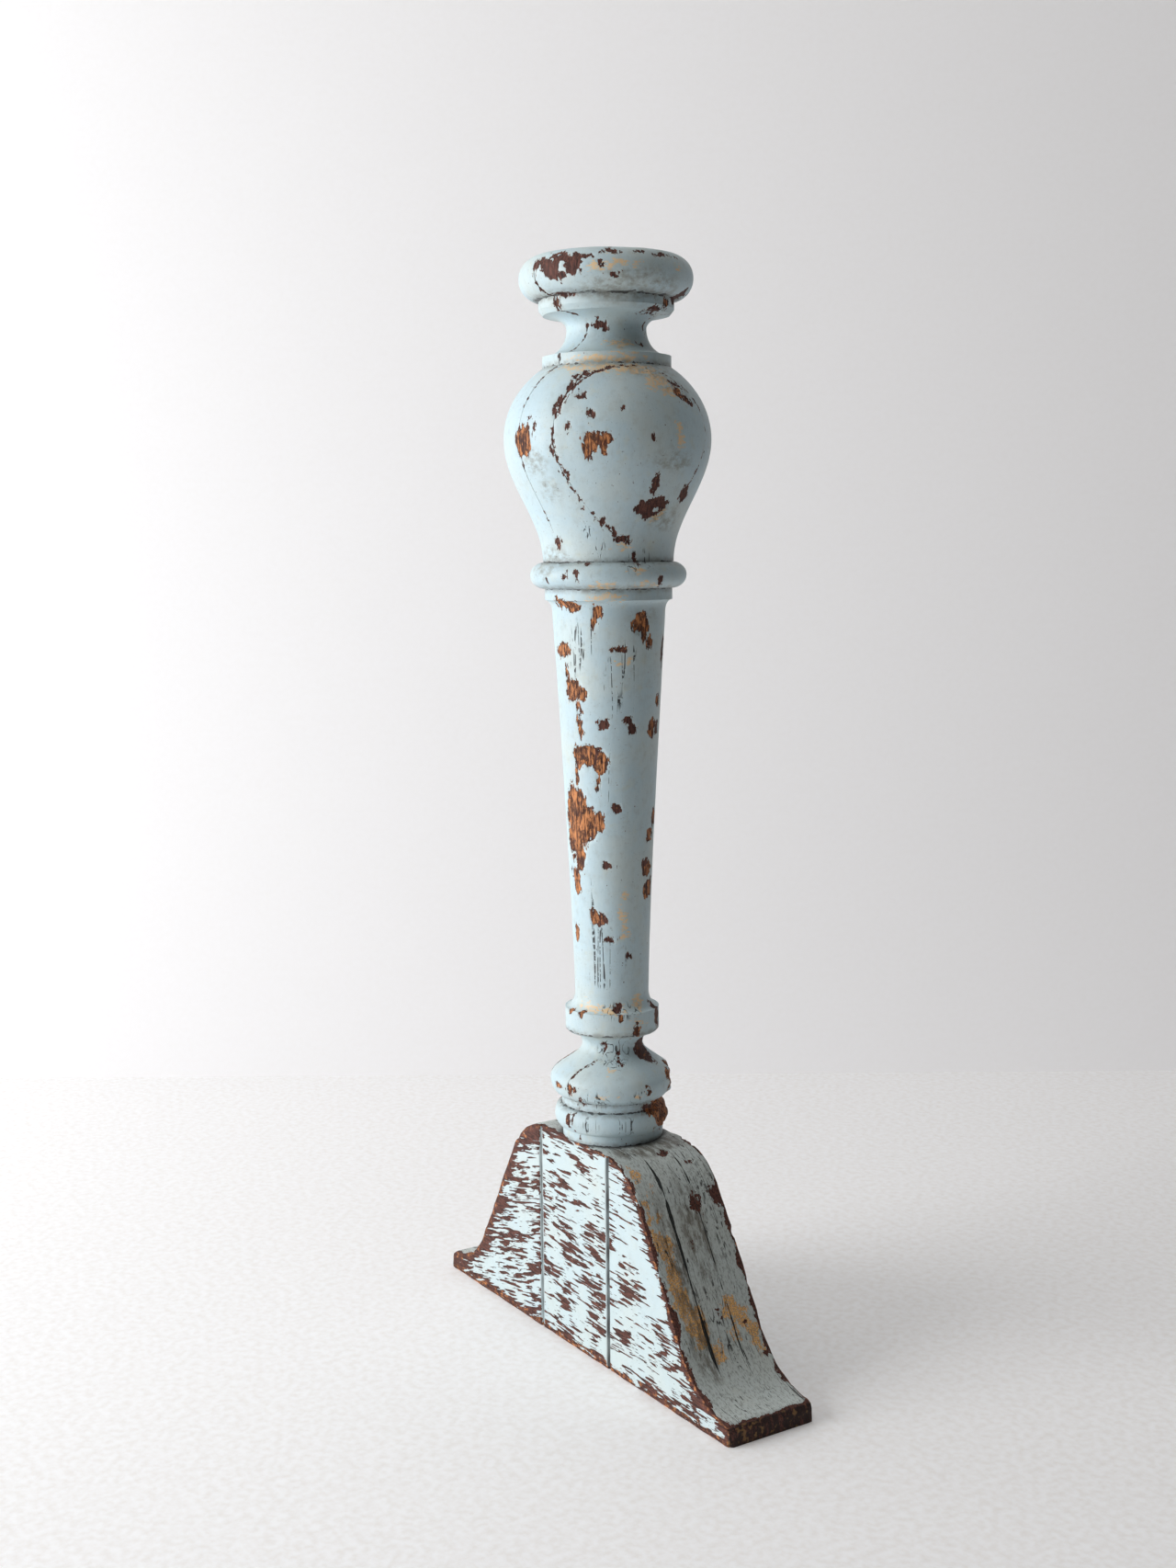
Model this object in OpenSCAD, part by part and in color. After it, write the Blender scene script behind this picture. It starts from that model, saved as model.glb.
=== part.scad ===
// Turned wooden candlestick on an ogee bracket base.
// The post is turned from a blank of five glued boards and stands with a round tenon in the base,
// which is glued up from three boards. All sizes are in millimetres, +Z is up, and the origin is
// the middle of the base's underside. X runs along the base.

/* [Base] */
// Length of the base along X
base_len = 263; // [210:1:320]
// Thickness of the base along Y
base_thick = 49; // [40:1:60]
// Thickness of its middle board
base_core_t = 16.6; // [12:0.2:22]
// Height of the base
base_h = 110; // [90:1:135]
// Height of the toe at each end
toe_h = 10; // [6:0.5:16]
// Steepest slope of the ogee, from level
ogee_slope = 60; // [50:1:66]
// Part of the ogee's bend that is the round shoulder
shoulder_share = 0.47; // [0.3:0.01:0.7]
// Distance between the two grooves on a face
groove_span = 64; // [40:1:90]
// Width of a groove at the face
groove_w = 2.6; // [1:0.2:5]
// Depth of a groove
groove_depth = 1.5; // [0.6:0.1:3]

/* [Post blank] */
// Thickness of the middle board of the blank
core_board_t = 27.2; // [24:0.2:33]
// Thickness of the boards beside it
side_board_t = 20; // [16:0.5:22]
// Turn of the boards about the post's axis
board_turn = -15; // [-90:1:90]

/* [Tenon and socket] */
// Diameter of the tenon
tenon_d = 25.4; // [18:0.2:34]
// Length of the tenon
tenon_len = 45; // [25:1:60]
// Gap around the tenon, for glue
glue_gap = 0.1; // [0.05:0.05:0.4]
// Room under the tenon, for spare glue
glue_room = 2; // [1:0.5:5]
// Diameter of the candle socket
socket_d = 22.4; // [18:0.2:27]
// Depth of the candle socket
socket_depth = 25; // [15:1:40]

/* [Turning diameters] */
// Foot that stands on the base
foot_d = 51; // [44:0.5:60]
// Lower bead
lower_bead_d = 59; // [54:0.5:66]
// Fillet between the beads
bead_fillet_d = 52; // [46:0.5:58]
// Upper bead
upper_bead_d = 63.2; // [58:0.2:67]
// Lower neck
lower_neck_d = 30.6; // [28:0.2:37]
// Lower collar
lower_collar_d = 47.4; // [42:0.2:57]
// Bottom of the shaft
shaft_low_d = 37.2; // [32:0.2:41]
// Top of the shaft
shaft_top_d = 56; // [48:0.5:60]
// Band under the ring
band_d = 63; // [61:0.5:66]
// Ring under the vase
ring_d = 77.4; // [72:0.2:92]
// Foot of the vase
vase_foot_d = 64.6; // [60:0.2:66.6]
// Bulb
bulb_d = 101.6; // [85:0.2:122]
// Collar over the bulb
neck_collar_d = 62.8; // [52:0.2:66]
// Upper neck
neck_d = 38.8; // [36:0.2:46]
// Fillet under the cap
cap_fillet_d = 65.8; // [58:0.2:66.6]
// Cap
cap_d = 84.8; // [74:0.2:102]

/* [Turning heights] */
// Foot
foot_h = 5; // [3:0.5:8]
// Lower bead
lower_bead_h = 12; // [8:0.5:16]
// Fillet between the beads
bead_fillet_h = 4.5; // [2:0.5:8]
// Round underside of the upper bead
upper_bead_h = 8.5; // [5:0.5:12]
// Ogee from the upper bead in to the lower neck
neck_ogee_h = 17.5; // [12:0.5:24]
// Cove from the lower neck out to the lower collar
collar_cove_h = 8; // [5:0.5:12]
// Lower collar
lower_collar_h = 11; // [7:0.5:16]
// Bevel from the lower collar in to the shaft
collar_bevel_h = 7.5; // [4:0.5:12]
// Shaft
shaft_h = 192; // [150:1:260]
// Flare at the top of the shaft
flare_h = 5.5; // [3:0.5:9]
// Band under the ring
band_h = 5.5; // [3:0.5:9]
// Ring
ring_h = 13; // [9:0.5:17]
// Vase, from its foot to the widest place
vase_h = 59; // [48:1:75]
// Top of the bulb
bulb_top_h = 34.3; // [28:0.1:44]
// Collar over the bulb
neck_collar_h = 5.4; // [3:0.1:9]
// Cove from that collar in to the upper neck
neck_low_h = 13.3; // [9:0.1:18]
// Cove from the upper neck out to the fillet
neck_top_h = 6.5; // [4:0.5:10]
// Bevel under the fillet
fillet_bevel_h = 2.5; // [1:0.5:4]
// Fillet under the cap
cap_fillet_h = 4.5; // [2:0.5:7]
// Cap
cap_h = 20.5; // [14:0.1:28]

/* [Hidden] */

$fn = 96;
paint_blue = [0.63, 0.75, 0.78];
arc_steps = 10;         // segments in one bend of the turning
shaft_hollow = 1.25;    // power of the shaft's taper: above 1 it is slightly hollow
edge_break = 1;         // small bevel on a square-cut edge
over = 1;               // how far a cutter runs past the wood
bevel_lip = 2;          // how far a bevel's foot stands in from the edge it ends on

// Height of the joint under each turning, from the foot up. z_of[n] is the bottom of part n.
part_heights = [foot_h, lower_bead_h, bead_fillet_h, upper_bead_h, neck_ogee_h, collar_cove_h,
                lower_collar_h, collar_bevel_h, shaft_h, flare_h, band_h, ring_h, vase_h, bulb_top_h,
                neck_collar_h, neck_low_h, neck_top_h, fillet_bevel_h, cap_fillet_h, cap_h];
function sum_to(list, n) = n == 0 ? 0 : list[n - 1] + sum_to(list, n - 1);
z_of = [for (n = [0 : len(part_heights)]) base_h + sum_to(part_heights, n)];
foot_z = z_of[0];
lower_bead_z = z_of[1];
bead_fillet_z = z_of[2];
upper_bead_z = z_of[3];
neck_ogee_z = z_of[4];
collar_cove_z = z_of[5];
lower_collar_z = z_of[6];
collar_bevel_z = z_of[7];
shaft_z = z_of[8];
flare_z = z_of[9];
band_z = z_of[10];
ring_z = z_of[11];
vase_z = z_of[12];
bulb_z = z_of[13];
neck_collar_z = z_of[14];
neck_low_z = z_of[15];
neck_top_z = z_of[16];
fillet_bevel_z = z_of[17];
cap_fillet_z = z_of[18];
cap_z = z_of[19];
top_z = z_of[20];

glue_plane = core_board_t / 2;                 // from the axis to the core board's face
cheek_plane = glue_plane + side_board_t;       // from the axis to the outer boards' inner face
reach = max(bulb_d, cap_d, ring_d);            // more than any turning's radius
// Bottom and top of the turnings that are wide enough to leave some of the outer boards
ring_heights = [band_z, vase_z];
bulb_heights = [vase_z, neck_low_z];
cap_heights = [fillet_bevel_z, top_z + over];
seat_margin = 1.5;                             // flat top of the base beyond the foot, each side
flat_half = foot_d / 2 + seat_margin;
toe_end = base_len / 2;

// The ogee turns through ogee_slope at the shoulder and back at the toe. The sum of the two radii
// makes the bends and the straight between them fill the wing's run and rise.
wing_run = toe_end - flat_half;
wing_rise = base_h - toe_h;
radius_sum = (wing_run * sin(ogee_slope) - wing_rise * cos(ogee_slope)) / (1 - cos(ogee_slope));
shoulder_r = radius_sum * shoulder_share;
toe_r = radius_sum - shoulder_r;

// ---- curves of the turning, each without its first point ----

// S-shaped bend, upright at both ends
function s_bend(from, to) = [for (i = [1 : arc_steps])
    let (t = i / arc_steps)
    [from.x + (to.x - from.x) * (1 - cos(180 * t)) / 2, from.y + (to.y - from.y) * t]];

// Half-round bead that swells from radius r0 to r1 between two heights
function bead(r0, r1, z0, z1) = [for (i = [1 : arc_steps])
    let (a = 180 * i / arc_steps)
    [r0 + (r1 - r0) * sin(a), (z0 + z1) / 2 - (z1 - z0) / 2 * cos(a)]];

// Quarter ellipse, level where it starts and upright where it ends
function level_to_upright(from, to) = [for (i = [1 : arc_steps])
    let (a = 90 * i / arc_steps)
    [from.x + (to.x - from.x) * sin(a), from.y + (to.y - from.y) * (1 - cos(a))]];

// Quarter ellipse, upright where it starts and level where it ends
function upright_to_level(from, to) = [for (i = [1 : arc_steps])
    let (a = 90 * i / arc_steps)
    [from.x + (to.x - from.x) * (1 - cos(a)), from.y + (to.y - from.y) * sin(a)]];

// Top of the bulb: an ellipse about the axis from its widest place up to the collar
function bulb_top(r0, z0, r1, z1) = [for (i = [1 : arc_steps])
    let (last = acos(r1 / r0), a = last * i / arc_steps)
    [r0 * cos(a), z0 + (z1 - z0) * sin(a) / sin(last)]];

// Shaft: a slightly hollow taper
function taper(r0, z0, r1, z1) = [for (i = [1 : arc_steps])
    let (t = i / arc_steps) [r0 + (r1 - r0) * pow(t, shaft_hollow), z0 + (z1 - z0) * t]];

// Half section of the post, from the tenon's end up
post_outline = concat(
    [[0, foot_z - tenon_len],
     [tenon_d / 2 - edge_break, foot_z - tenon_len],
     [tenon_d / 2, foot_z - tenon_len + edge_break],
     [tenon_d / 2, foot_z],
     [foot_d / 2, foot_z],
     [foot_d / 2, lower_bead_z]],
    bead(foot_d / 2, lower_bead_d / 2, lower_bead_z, bead_fillet_z),
    [[bead_fillet_d / 2, bead_fillet_z], [bead_fillet_d / 2, upper_bead_z]],
    level_to_upright([bead_fillet_d / 2, upper_bead_z], [upper_bead_d / 2, neck_ogee_z]),
    s_bend([upper_bead_d / 2, neck_ogee_z], [lower_neck_d / 2, collar_cove_z]),
    upright_to_level([lower_neck_d / 2, collar_cove_z],
                     [lower_collar_d / 2 - edge_break, lower_collar_z - edge_break]),
    [[lower_collar_d / 2, lower_collar_z], [lower_collar_d / 2, collar_bevel_z]],
    level_to_upright([lower_collar_d / 2, collar_bevel_z], [shaft_low_d / 2, shaft_z]),
    taper(shaft_low_d / 2, shaft_z, shaft_top_d / 2, flare_z),
    upright_to_level([shaft_top_d / 2, flare_z], [band_d / 2, band_z]),
    [[band_d / 2, ring_z]],
    bead(band_d / 2, ring_d / 2, ring_z, vase_z),
    [[vase_foot_d / 2, vase_z]],
    s_bend([vase_foot_d / 2, vase_z], [bulb_d / 2, bulb_z]),
    bulb_top(bulb_d / 2, bulb_z, neck_collar_d / 2, neck_collar_z),
    [[neck_collar_d / 2, neck_low_z]],
    level_to_upright([neck_collar_d / 2, neck_low_z], [neck_d / 2, neck_top_z]),
    upright_to_level([neck_d / 2, neck_top_z], [cap_fillet_d / 2 - bevel_lip, fillet_bevel_z]),
    [[cap_fillet_d / 2, cap_fillet_z], [cap_fillet_d / 2, cap_z]],
    bead(cap_fillet_d / 2, cap_d / 2, cap_z, top_z),
    [[0, top_z]]
);

// The whole turned post, with its tenon and candle socket
module turned_post() {
    difference() {
        rotate_extrude() polygon(post_outline);
        translate([0, 0, top_z - socket_depth])
            cylinder(d = socket_d, h = socket_depth + over);
    }
}

// Space between two planes across the boards and two heights
module across_boards(near, far, low, high) {
    rotate([0, 0, board_turn])
        translate([near, -reach, low]) cube([far - near, 2 * reach, high - low]);
}

module post_core_board() {
    color(paint_blue) intersection() {
        turned_post();
        across_boards(-glue_plane, glue_plane, 0, top_z + over);
    }
}

// Space of an outer board between two heights. side is 1 on the right and -1 on the left.
module cheek_space(side, heights) {
    across_boards(side > 0 ? cheek_plane : -reach, side > 0 ? reach : -cheek_plane,
                  heights[0], heights[1]);
}

// A cheek is what the turning leaves of an outer board
module cheek(side, heights) {
    color(paint_blue) intersection() {
        turned_post();
        cheek_space(side, heights);
    }
}

// The board between the core and the cheeks
module side_board(side) {
    color(paint_blue) difference() {
        intersection() {
            turned_post();
            across_boards(side > 0 ? glue_plane : -reach, side > 0 ? reach : -glue_plane,
                          0, top_z + over);
        }
        for (heights = [ring_heights, bulb_heights, cap_heights]) cheek_space(side, heights);
    }
}

module post_right_board() { side_board(1); }
module post_left_board() { side_board(-1); }
module cap_right_cheek() { cheek(1, cap_heights); }
module cap_left_cheek() { cheek(-1, cap_heights); }
module bulb_right_cheek() { cheek(1, bulb_heights); }
module bulb_left_cheek() { cheek(-1, bulb_heights); }
module ring_right_cheek() { cheek(1, ring_heights); }
module ring_left_cheek() { cheek(-1, ring_heights); }

// Half of the base's outline, from the middle of its top to the toe
function shoulder_arc() = [for (i = [0 : arc_steps])
    let (a = ogee_slope * i / arc_steps)
    [flat_half + shoulder_r * sin(a), base_h - shoulder_r * (1 - cos(a))]];
function toe_arc() = [for (i = [arc_steps : -1 : 0])
    let (a = ogee_slope * i / arc_steps)
    [toe_end - toe_r * sin(a), toe_h + toe_r * (1 - cos(a))]];
right_half = concat(shoulder_arc(), toe_arc(), [[toe_end, 0]]);
left_half = [for (i = [len(right_half) - 1 : -1 : 0]) [-right_half[i].x, right_half[i].y]];

// The ogee outline, standing along X, from y = near to y = far
module ogee_board(near, far) {
    translate([0, far, 0]) rotate([90, 0, 0])
        linear_extrude(far - near) polygon(concat(left_half, right_half));
}

module tenon_hole() {
    translate([0, 0, base_h - tenon_len - glue_room])
        cylinder(d = tenon_d + 2 * glue_gap, h = tenon_len + glue_room + over);
}

// An upright V groove in the face at y = face. out is the way that the face looks.
module groove(x, face, out) {
    translate([x, face, -over]) linear_extrude(base_h + 2 * over)
        polygon([[-groove_w / 2, 0], [-groove_w / 2, out * over], [groove_w / 2, out * over],
                 [groove_w / 2, 0], [0, -out * groove_depth]]);
}

// An outer board of the base. out is -1 at the front and 1 at the back.
module outer_board(out) {
    color(paint_blue) difference() {
        ogee_board(out < 0 ? -base_thick / 2 : base_core_t / 2, out < 0 ? -base_core_t / 2 : base_thick / 2);
        tenon_hole();
        for (side = [-1, 1]) groove(side * groove_span / 2, out * base_thick / 2, out);
    }
}

module base_front_board() { outer_board(-1); }
module base_back_board() { outer_board(1); }

module base_centre_board() {
    color(paint_blue) difference() {
        ogee_board(-base_core_t / 2, base_core_t / 2);
        tenon_hole();
    }
}

post_core_board();
post_right_board();
post_left_board();
cap_right_cheek();
cap_left_cheek();
bulb_right_cheek();
bulb_left_cheek();
ring_right_cheek();
ring_left_cheek();
base_front_board();
base_centre_board();
base_back_board();
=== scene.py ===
# %% [markdown]
# # An old painted candlestick
#
# The real object is a baluster, turned on a lathe and set in an ogee bracket base. Both were glued up
# from boards, painted dark, and much later painted cream and duck-egg blue. The blue has since flaked
# off, and the glue lines have opened. The CAD model holds every size and every piece. This notebook
# makes a finer mesh for each piece, wears it as the years did, and paints it.

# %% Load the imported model
import math
import random
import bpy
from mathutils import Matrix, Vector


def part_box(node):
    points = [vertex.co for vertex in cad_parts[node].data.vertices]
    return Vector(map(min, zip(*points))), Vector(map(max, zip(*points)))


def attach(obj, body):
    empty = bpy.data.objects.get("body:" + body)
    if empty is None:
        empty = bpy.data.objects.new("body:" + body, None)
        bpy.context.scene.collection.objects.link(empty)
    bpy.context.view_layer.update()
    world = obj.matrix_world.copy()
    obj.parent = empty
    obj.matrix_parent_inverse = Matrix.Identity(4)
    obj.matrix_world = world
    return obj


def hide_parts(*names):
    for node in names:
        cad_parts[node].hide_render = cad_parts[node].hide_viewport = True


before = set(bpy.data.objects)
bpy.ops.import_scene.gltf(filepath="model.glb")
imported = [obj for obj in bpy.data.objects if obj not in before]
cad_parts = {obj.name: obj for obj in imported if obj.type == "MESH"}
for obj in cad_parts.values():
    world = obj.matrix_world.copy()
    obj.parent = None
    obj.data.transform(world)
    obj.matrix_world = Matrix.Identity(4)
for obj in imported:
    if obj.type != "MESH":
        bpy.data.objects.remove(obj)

from types import SimpleNamespace

import bpy
import numpy as np
from mathutils import Matrix, Vector, noise

MM = 0.001               # lengths below are in millimetres, and Blender works in metres
FAR = 9.0                # a distance for what lies nowhere near
SMOOTH_ANGLE = math.radians(38)
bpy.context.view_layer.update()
scene = bpy.context.scene
print("CAD nodes:", len(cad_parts))

# %% [markdown]
# ## The camera
#
# The camera stands a little below the candlestick's top and looks down by a few degrees, from the side
# where one wing of the base comes forward. A camera in Blender looks along its own -Z, so it is turned
# about Z to its heading, tipped up from straight down, and last rolled about its own axis.

# %% Camera
LENS = 42.6              # on a picture whose long side is 36 mm
CAMERA_AWAY = 922.7      # from the post's axis
CAMERA_SIDE = 56.8       # degrees from the front of the base towards its right wing
CAMERA_HEIGHT = 403.6
CAMERA_PITCH = 7.05      # degrees down
CAMERA_YAW = 0.69        # degrees left of the post's axis
CAMERA_ROLL = -0.56


def make_camera():
    side = math.radians(CAMERA_SIDE)
    camera = bpy.data.objects.new("camera", bpy.data.cameras.new("camera"))
    camera.data.lens = LENS
    place = Vector((math.sin(side) * CAMERA_AWAY, -math.cos(side) * CAMERA_AWAY, CAMERA_HEIGHT)) * MM
    heading = Matrix.Rotation(math.radians(CAMERA_SIDE + CAMERA_YAW), 4, "Z")
    tip = Matrix.Rotation(math.radians(90 - CAMERA_PITCH), 4, "X")
    roll = Matrix.Rotation(math.radians(CAMERA_ROLL), 4, "Z")
    camera.matrix_world = Matrix.Translation(place) @ heading @ tip @ roll
    scene.collection.objects.link(camera)
    scene.camera = camera
    return camera


camera = make_camera()
print("camera at", [round(value, 3) for value in camera.location])

# %% [markdown]
# ## Small helpers
#
# An operator works on what is selected, so each new object starts from an empty selection. `seed`
# leaves one vertex in edit mode: a drawn outline is that vertex, extruded again and again.

# %% Helpers for modelling


def only(obj):
    """Selects one object and makes it active."""
    bpy.ops.object.select_all(action="DESELECT")
    obj.select_set(True)
    bpy.context.view_layer.objects.active = obj


def seed(name, point):
    """Starts an object as one vertex at a point, in edit mode."""
    bpy.ops.object.select_all(action="DESELECT")
    bpy.ops.mesh.primitive_plane_add(size=2 * MM)
    bpy.context.object.name = name
    bpy.ops.object.mode_set(mode="EDIT")
    bpy.ops.mesh.select_all(action="SELECT")
    bpy.ops.mesh.merge(type="CENTER")
    bpy.ops.transform.translate(value=Vector(point) * MM)
    return bpy.context.object


def extrude_by(step):
    bpy.ops.mesh.extrude_region_move(TRANSFORM_OT_translate={"value": Vector(step) * MM})


def read_points(mesh, what="co"):
    """The mesh's vertices, or their normals, as an array with one row for each."""
    values = np.zeros(len(mesh.vertices) * 3, np.float32)
    mesh.vertices.foreach_get(what, values)
    return values.reshape(-1, 3).astype(float)


def write_points(mesh, points):
    mesh.vertices.foreach_set("co", np.asarray(points, np.float32).ravel())
    mesh.update()


def write_mask(mesh, name, values):
    """Stores one number for each vertex, for a material to read."""
    attribute = mesh.attributes.get(name) or mesh.attributes.new(name, "FLOAT", "POINT")
    attribute.data.foreach_set("value", np.asarray(values, np.float32))


def cloud(points, size, seed_value=0):
    """Smooth noise from about -1 to 1 over points in mm. size is its grain, one number or three."""
    scaled = points / np.asarray(size, float) + 37.0 * seed_value
    return np.array([noise.noise(row) for row in scaled.tolist()])


def smooth_step(low, high, values):
    """0 below low, 1 above high, and an s-bend between them."""
    t = np.clip((values - low) / (high - low), 0, 1)
    return t * t * (3 - 2 * t)


def between(low, high, soft, values):
    """1 from low to high and 0 outside, with soft ends."""
    return smooth_step(low - soft, low + soft, values) * (1 - smooth_step(high - soft, high + soft, values))


print("smooth step at 0.25, 0.5 and 0.75:", smooth_step(0, 1, np.array([0.25, 0.5, 0.75])))

# %% [markdown]
# ## The post's outline
#
# A turner works from half of the outline: beads, coves, fillets and long bends between them. Each curve
# here is a function of t, from 0 to 1, that says how far across and how far up it has come. The turnings
# are then listed from the tenon up, as a turner would read them off a pattern stick. They repeat the sizes
# of the CAD model, which this script can't read as numbers. The outline is sampled finely, so that the
# worn surface has enough vertices.

# %% Curves and turnings
ROW = 1.2                # distance between the rings of vertices on the surface
CURVE_STEPS = 6          # the fewest on a curve
BULB_R = 50.8
BULB_COLLAR_R = 31.4
dome_end = math.acos(BULB_COLLAR_R / BULB_R)


def straight(t):
    return t, t


def s_bend(t):
    return (1 - math.cos(math.pi * t)) / 2, t


def level_first(t):
    return math.sin(math.pi / 2 * t), 1 - math.cos(math.pi / 2 * t)


def upright_first(t):
    return 1 - math.cos(math.pi / 2 * t), math.sin(math.pi / 2 * t)


def hollow_taper(t):
    return t ** 1.25, t


def half_round(t):
    return math.sin(math.pi * t), (1 - math.cos(math.pi * t)) / 2


def dome(t):
    across = (1 - math.cos(dome_end * t)) / (1 - math.cos(dome_end))
    up = math.sin(dome_end * t) / math.sin(dome_end)
    return across, up


base_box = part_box("base_front_board")
post_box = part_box("post_core_board")
foot_z = base_box[1].z / MM
top_z = post_box[1].z / MM
tenon_z = post_box[0].z / MM
TENON_R = 12.7
SOCKET_R = 11.2
SOCKET_DEPTH = 25
EDGE = 1                 # small bevel on a square-cut edge

# curve, rise, radius at its end. A half round swells to that radius and comes back.
TURNINGS = [
    (straight, 0, TENON_R - EDGE),             # end of the tenon
    (straight, EDGE, TENON_R),
    (straight, foot_z - tenon_z - EDGE, TENON_R),
    (straight, 0, 25.5),                       # foot on the base
    (straight, 5, 25.5),
    (half_round, 12, 29.5),                    # lower bead
    (straight, 0, 26),
    (straight, 4.5, 26),                       # fillet
    (level_first, 8.5, 31.6),                  # upper bead
    (s_bend, 17.5, 15.3),                      # ogee into the lower neck
    (upright_first, 7, 22.7),                  # cove
    (straight, 1, 23.7),
    (straight, 11, 23.7),                      # lower collar
    (level_first, 7.5, 18.6),                  # its bevel
    (hollow_taper, 192, 28),                   # shaft
    (upright_first, 5.5, 31.5),                # flare
    (straight, 5.5, 31.5),                     # band
    (half_round, 13, 38.7),                    # ring
    (straight, 0, 32.3),
    (s_bend, 59, BULB_R),                      # vase
    (dome, 34.3, BULB_COLLAR_R),               # top of the bulb
    (straight, 5.4, BULB_COLLAR_R),            # collar
    (level_first, 13.3, 19.4),                 # upper neck
    (upright_first, 6.5, 30.9),
    (straight, 2.5, 32.9),
    (straight, 4.5, 32.9),                     # fillet under the cap
    (half_round, 20.5, 42.4),                  # cap
    (straight, 0, SOCKET_R + EDGE),            # flat top
    (straight, -EDGE, SOCKET_R),
    (straight, EDGE - SOCKET_DEPTH, SOCKET_R),  # candle socket
    (straight, 0, 0),
]


def outline_points():
    """The half outline as (radius, height) points, about ROW apart."""
    points = [(0.0, tenon_z)]
    for curve, rise, radius in TURNINGS:
        from_r, from_z = points[-1]
        length = math.hypot(radius - from_r, rise) * (2 if curve is half_round else 1)
        steps = max(1, math.ceil(length / ROW))
        if curve is not straight:
            steps = max(steps, CURVE_STEPS)
        for step in range(1, steps + 1):
            across, up = curve(step / steps)
            points.append((from_r + (radius - from_r) * across, from_z + rise * up))
    return points


outline = outline_points()
print("outline:", len(outline), "points, up to", round(max(z for r, z in outline), 1), "mm")

# %% [markdown]
# ## Turning the post
#
# The outline is drawn in the XZ plane, one extruded vertex after another, and spun once round the post's
# axis, which is what the lathe does. The two ends lie on the axis, so merging by distance closes them.
# One whole post is made first. It is worn and only then sawn along the glue lines, so that the wear runs
# over the joints as it does on the real one.

# %% Turn the whole post
SEGMENTS = 256


def turn_post():
    post = seed("whole_post", (outline[0][0], 0, outline[0][1]))
    for (r0, z0), (r1, z1) in zip(outline, outline[1:]):
        extrude_by((r1 - r0, 0, z1 - z0))
    bpy.ops.mesh.select_all(action="SELECT")
    bpy.ops.mesh.spin(steps=SEGMENTS, angle=2 * math.pi, center=(0, 0, 0), axis=(0, 0, 1))
    bpy.ops.mesh.select_all(action="SELECT")
    bpy.ops.mesh.remove_doubles(threshold=0.01 * MM)
    bpy.ops.mesh.normals_make_consistent(inside=False)
    bpy.ops.object.mode_set(mode="OBJECT")
    return post


whole_post = turn_post()
print("whole post:", len(whole_post.data.vertices), "vertices")

# %% [markdown]
# ## Where the paint has come off the post
#
# Paint breaks off in flakes. Each flake is an ellipse here, on the unrolled surface: an angle and a
# height for its middle, and half its width and height. For every vertex the code stores how far inside
# the nearest flake it lies, in mm. The material adds fine noise to that distance, so that the edge of a
# flake is ragged, with teeth along the grain. Flakes with look 0 show the old dark finish, and those
# with look 1 bare orange wood.

# %% Flakes, cream and the wear fields
TOWARDS_CAMERA = CAMERA_SIDE - 90

DARK_FLAKES = [          # angle, height, half width, half height
    (-31, 543, 4, 1.6), (-10, 543, 2, 0.8), (9, 542.5, 6, 0.9), (-28, 532.5, 2.6, 0.7), (-51, 534, 1, 1.5),
    (-70, 525.5, 4, 0.9), (42, 526, 4, 3.5), (17, 519, 5, 1.3), (-78, 521, 2, 1), (-66, 533, 1.8, 1.8),
    (-40, 513, 3.2, 2), (-46, 512, 2.6, 1.6), (-35, 510, 1.4, 2.4), (12, 503.5, 1.6, 1.2),
    (-48, 477.5, 2.6, 2.2), (-42, 469, 2.4, 1.6), (-25, 471, 1.4, 1.1), (-8, 457, 1, 1.7),
    (-3.5, 436, 2.2, 4.6), (25, 432, 3.4, 4.6), (-22, 410.5, 4.4, 1.8), (-79, 409, 1.3, 2.6),
    (-51, 426.5, 1, 2), (-38, 419.5, 1.3, 1.5), (-57, 440, 1.2, 1.8), (-65, 452, 1, 2), (-50, 399, 1.2, 1.2),
    (-84, 392, 1, 1.6), (-66, 394, 1, 1.3), (-57, 394, 1, 2.4), (8, 391, 2, 2.4), (-10, 403, 0.9, 3),
    (-40, 322, 2.8, 2.8), (-13, 323, 2.6, 2.2), (-6, 319, 2.8, 3), (-26, 280.5, 2.4, 2.4),
    (21, 251, 3, 3), (-40, 251.5, 2.8, 1.7), (-6, 205, 1.8, 1.8), (-48, 224, 3, 2.6), (-33, 214, 2.8, 1.4),
    (-25, 179, 2.2, 2.4), (30, 155, 5.5, 6.5), (-48, 158, 1.3, 2.6), (-24, 156, 0.8, 2.6),
    (-22, 151, 1.3, 0.8), (-67, 132, 0.9, 2.2), (10, 128, 5, 1.8), (38, 173, 3.4, 6.5), (44, 356, 2.4, 7),
    (-76, 461.5, 0.9, 3), (-82, 468, 2.2, 0.8), (36, 318, 2.6, 3.4), (-82, 122, 1.4, 3.6),
]
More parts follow.
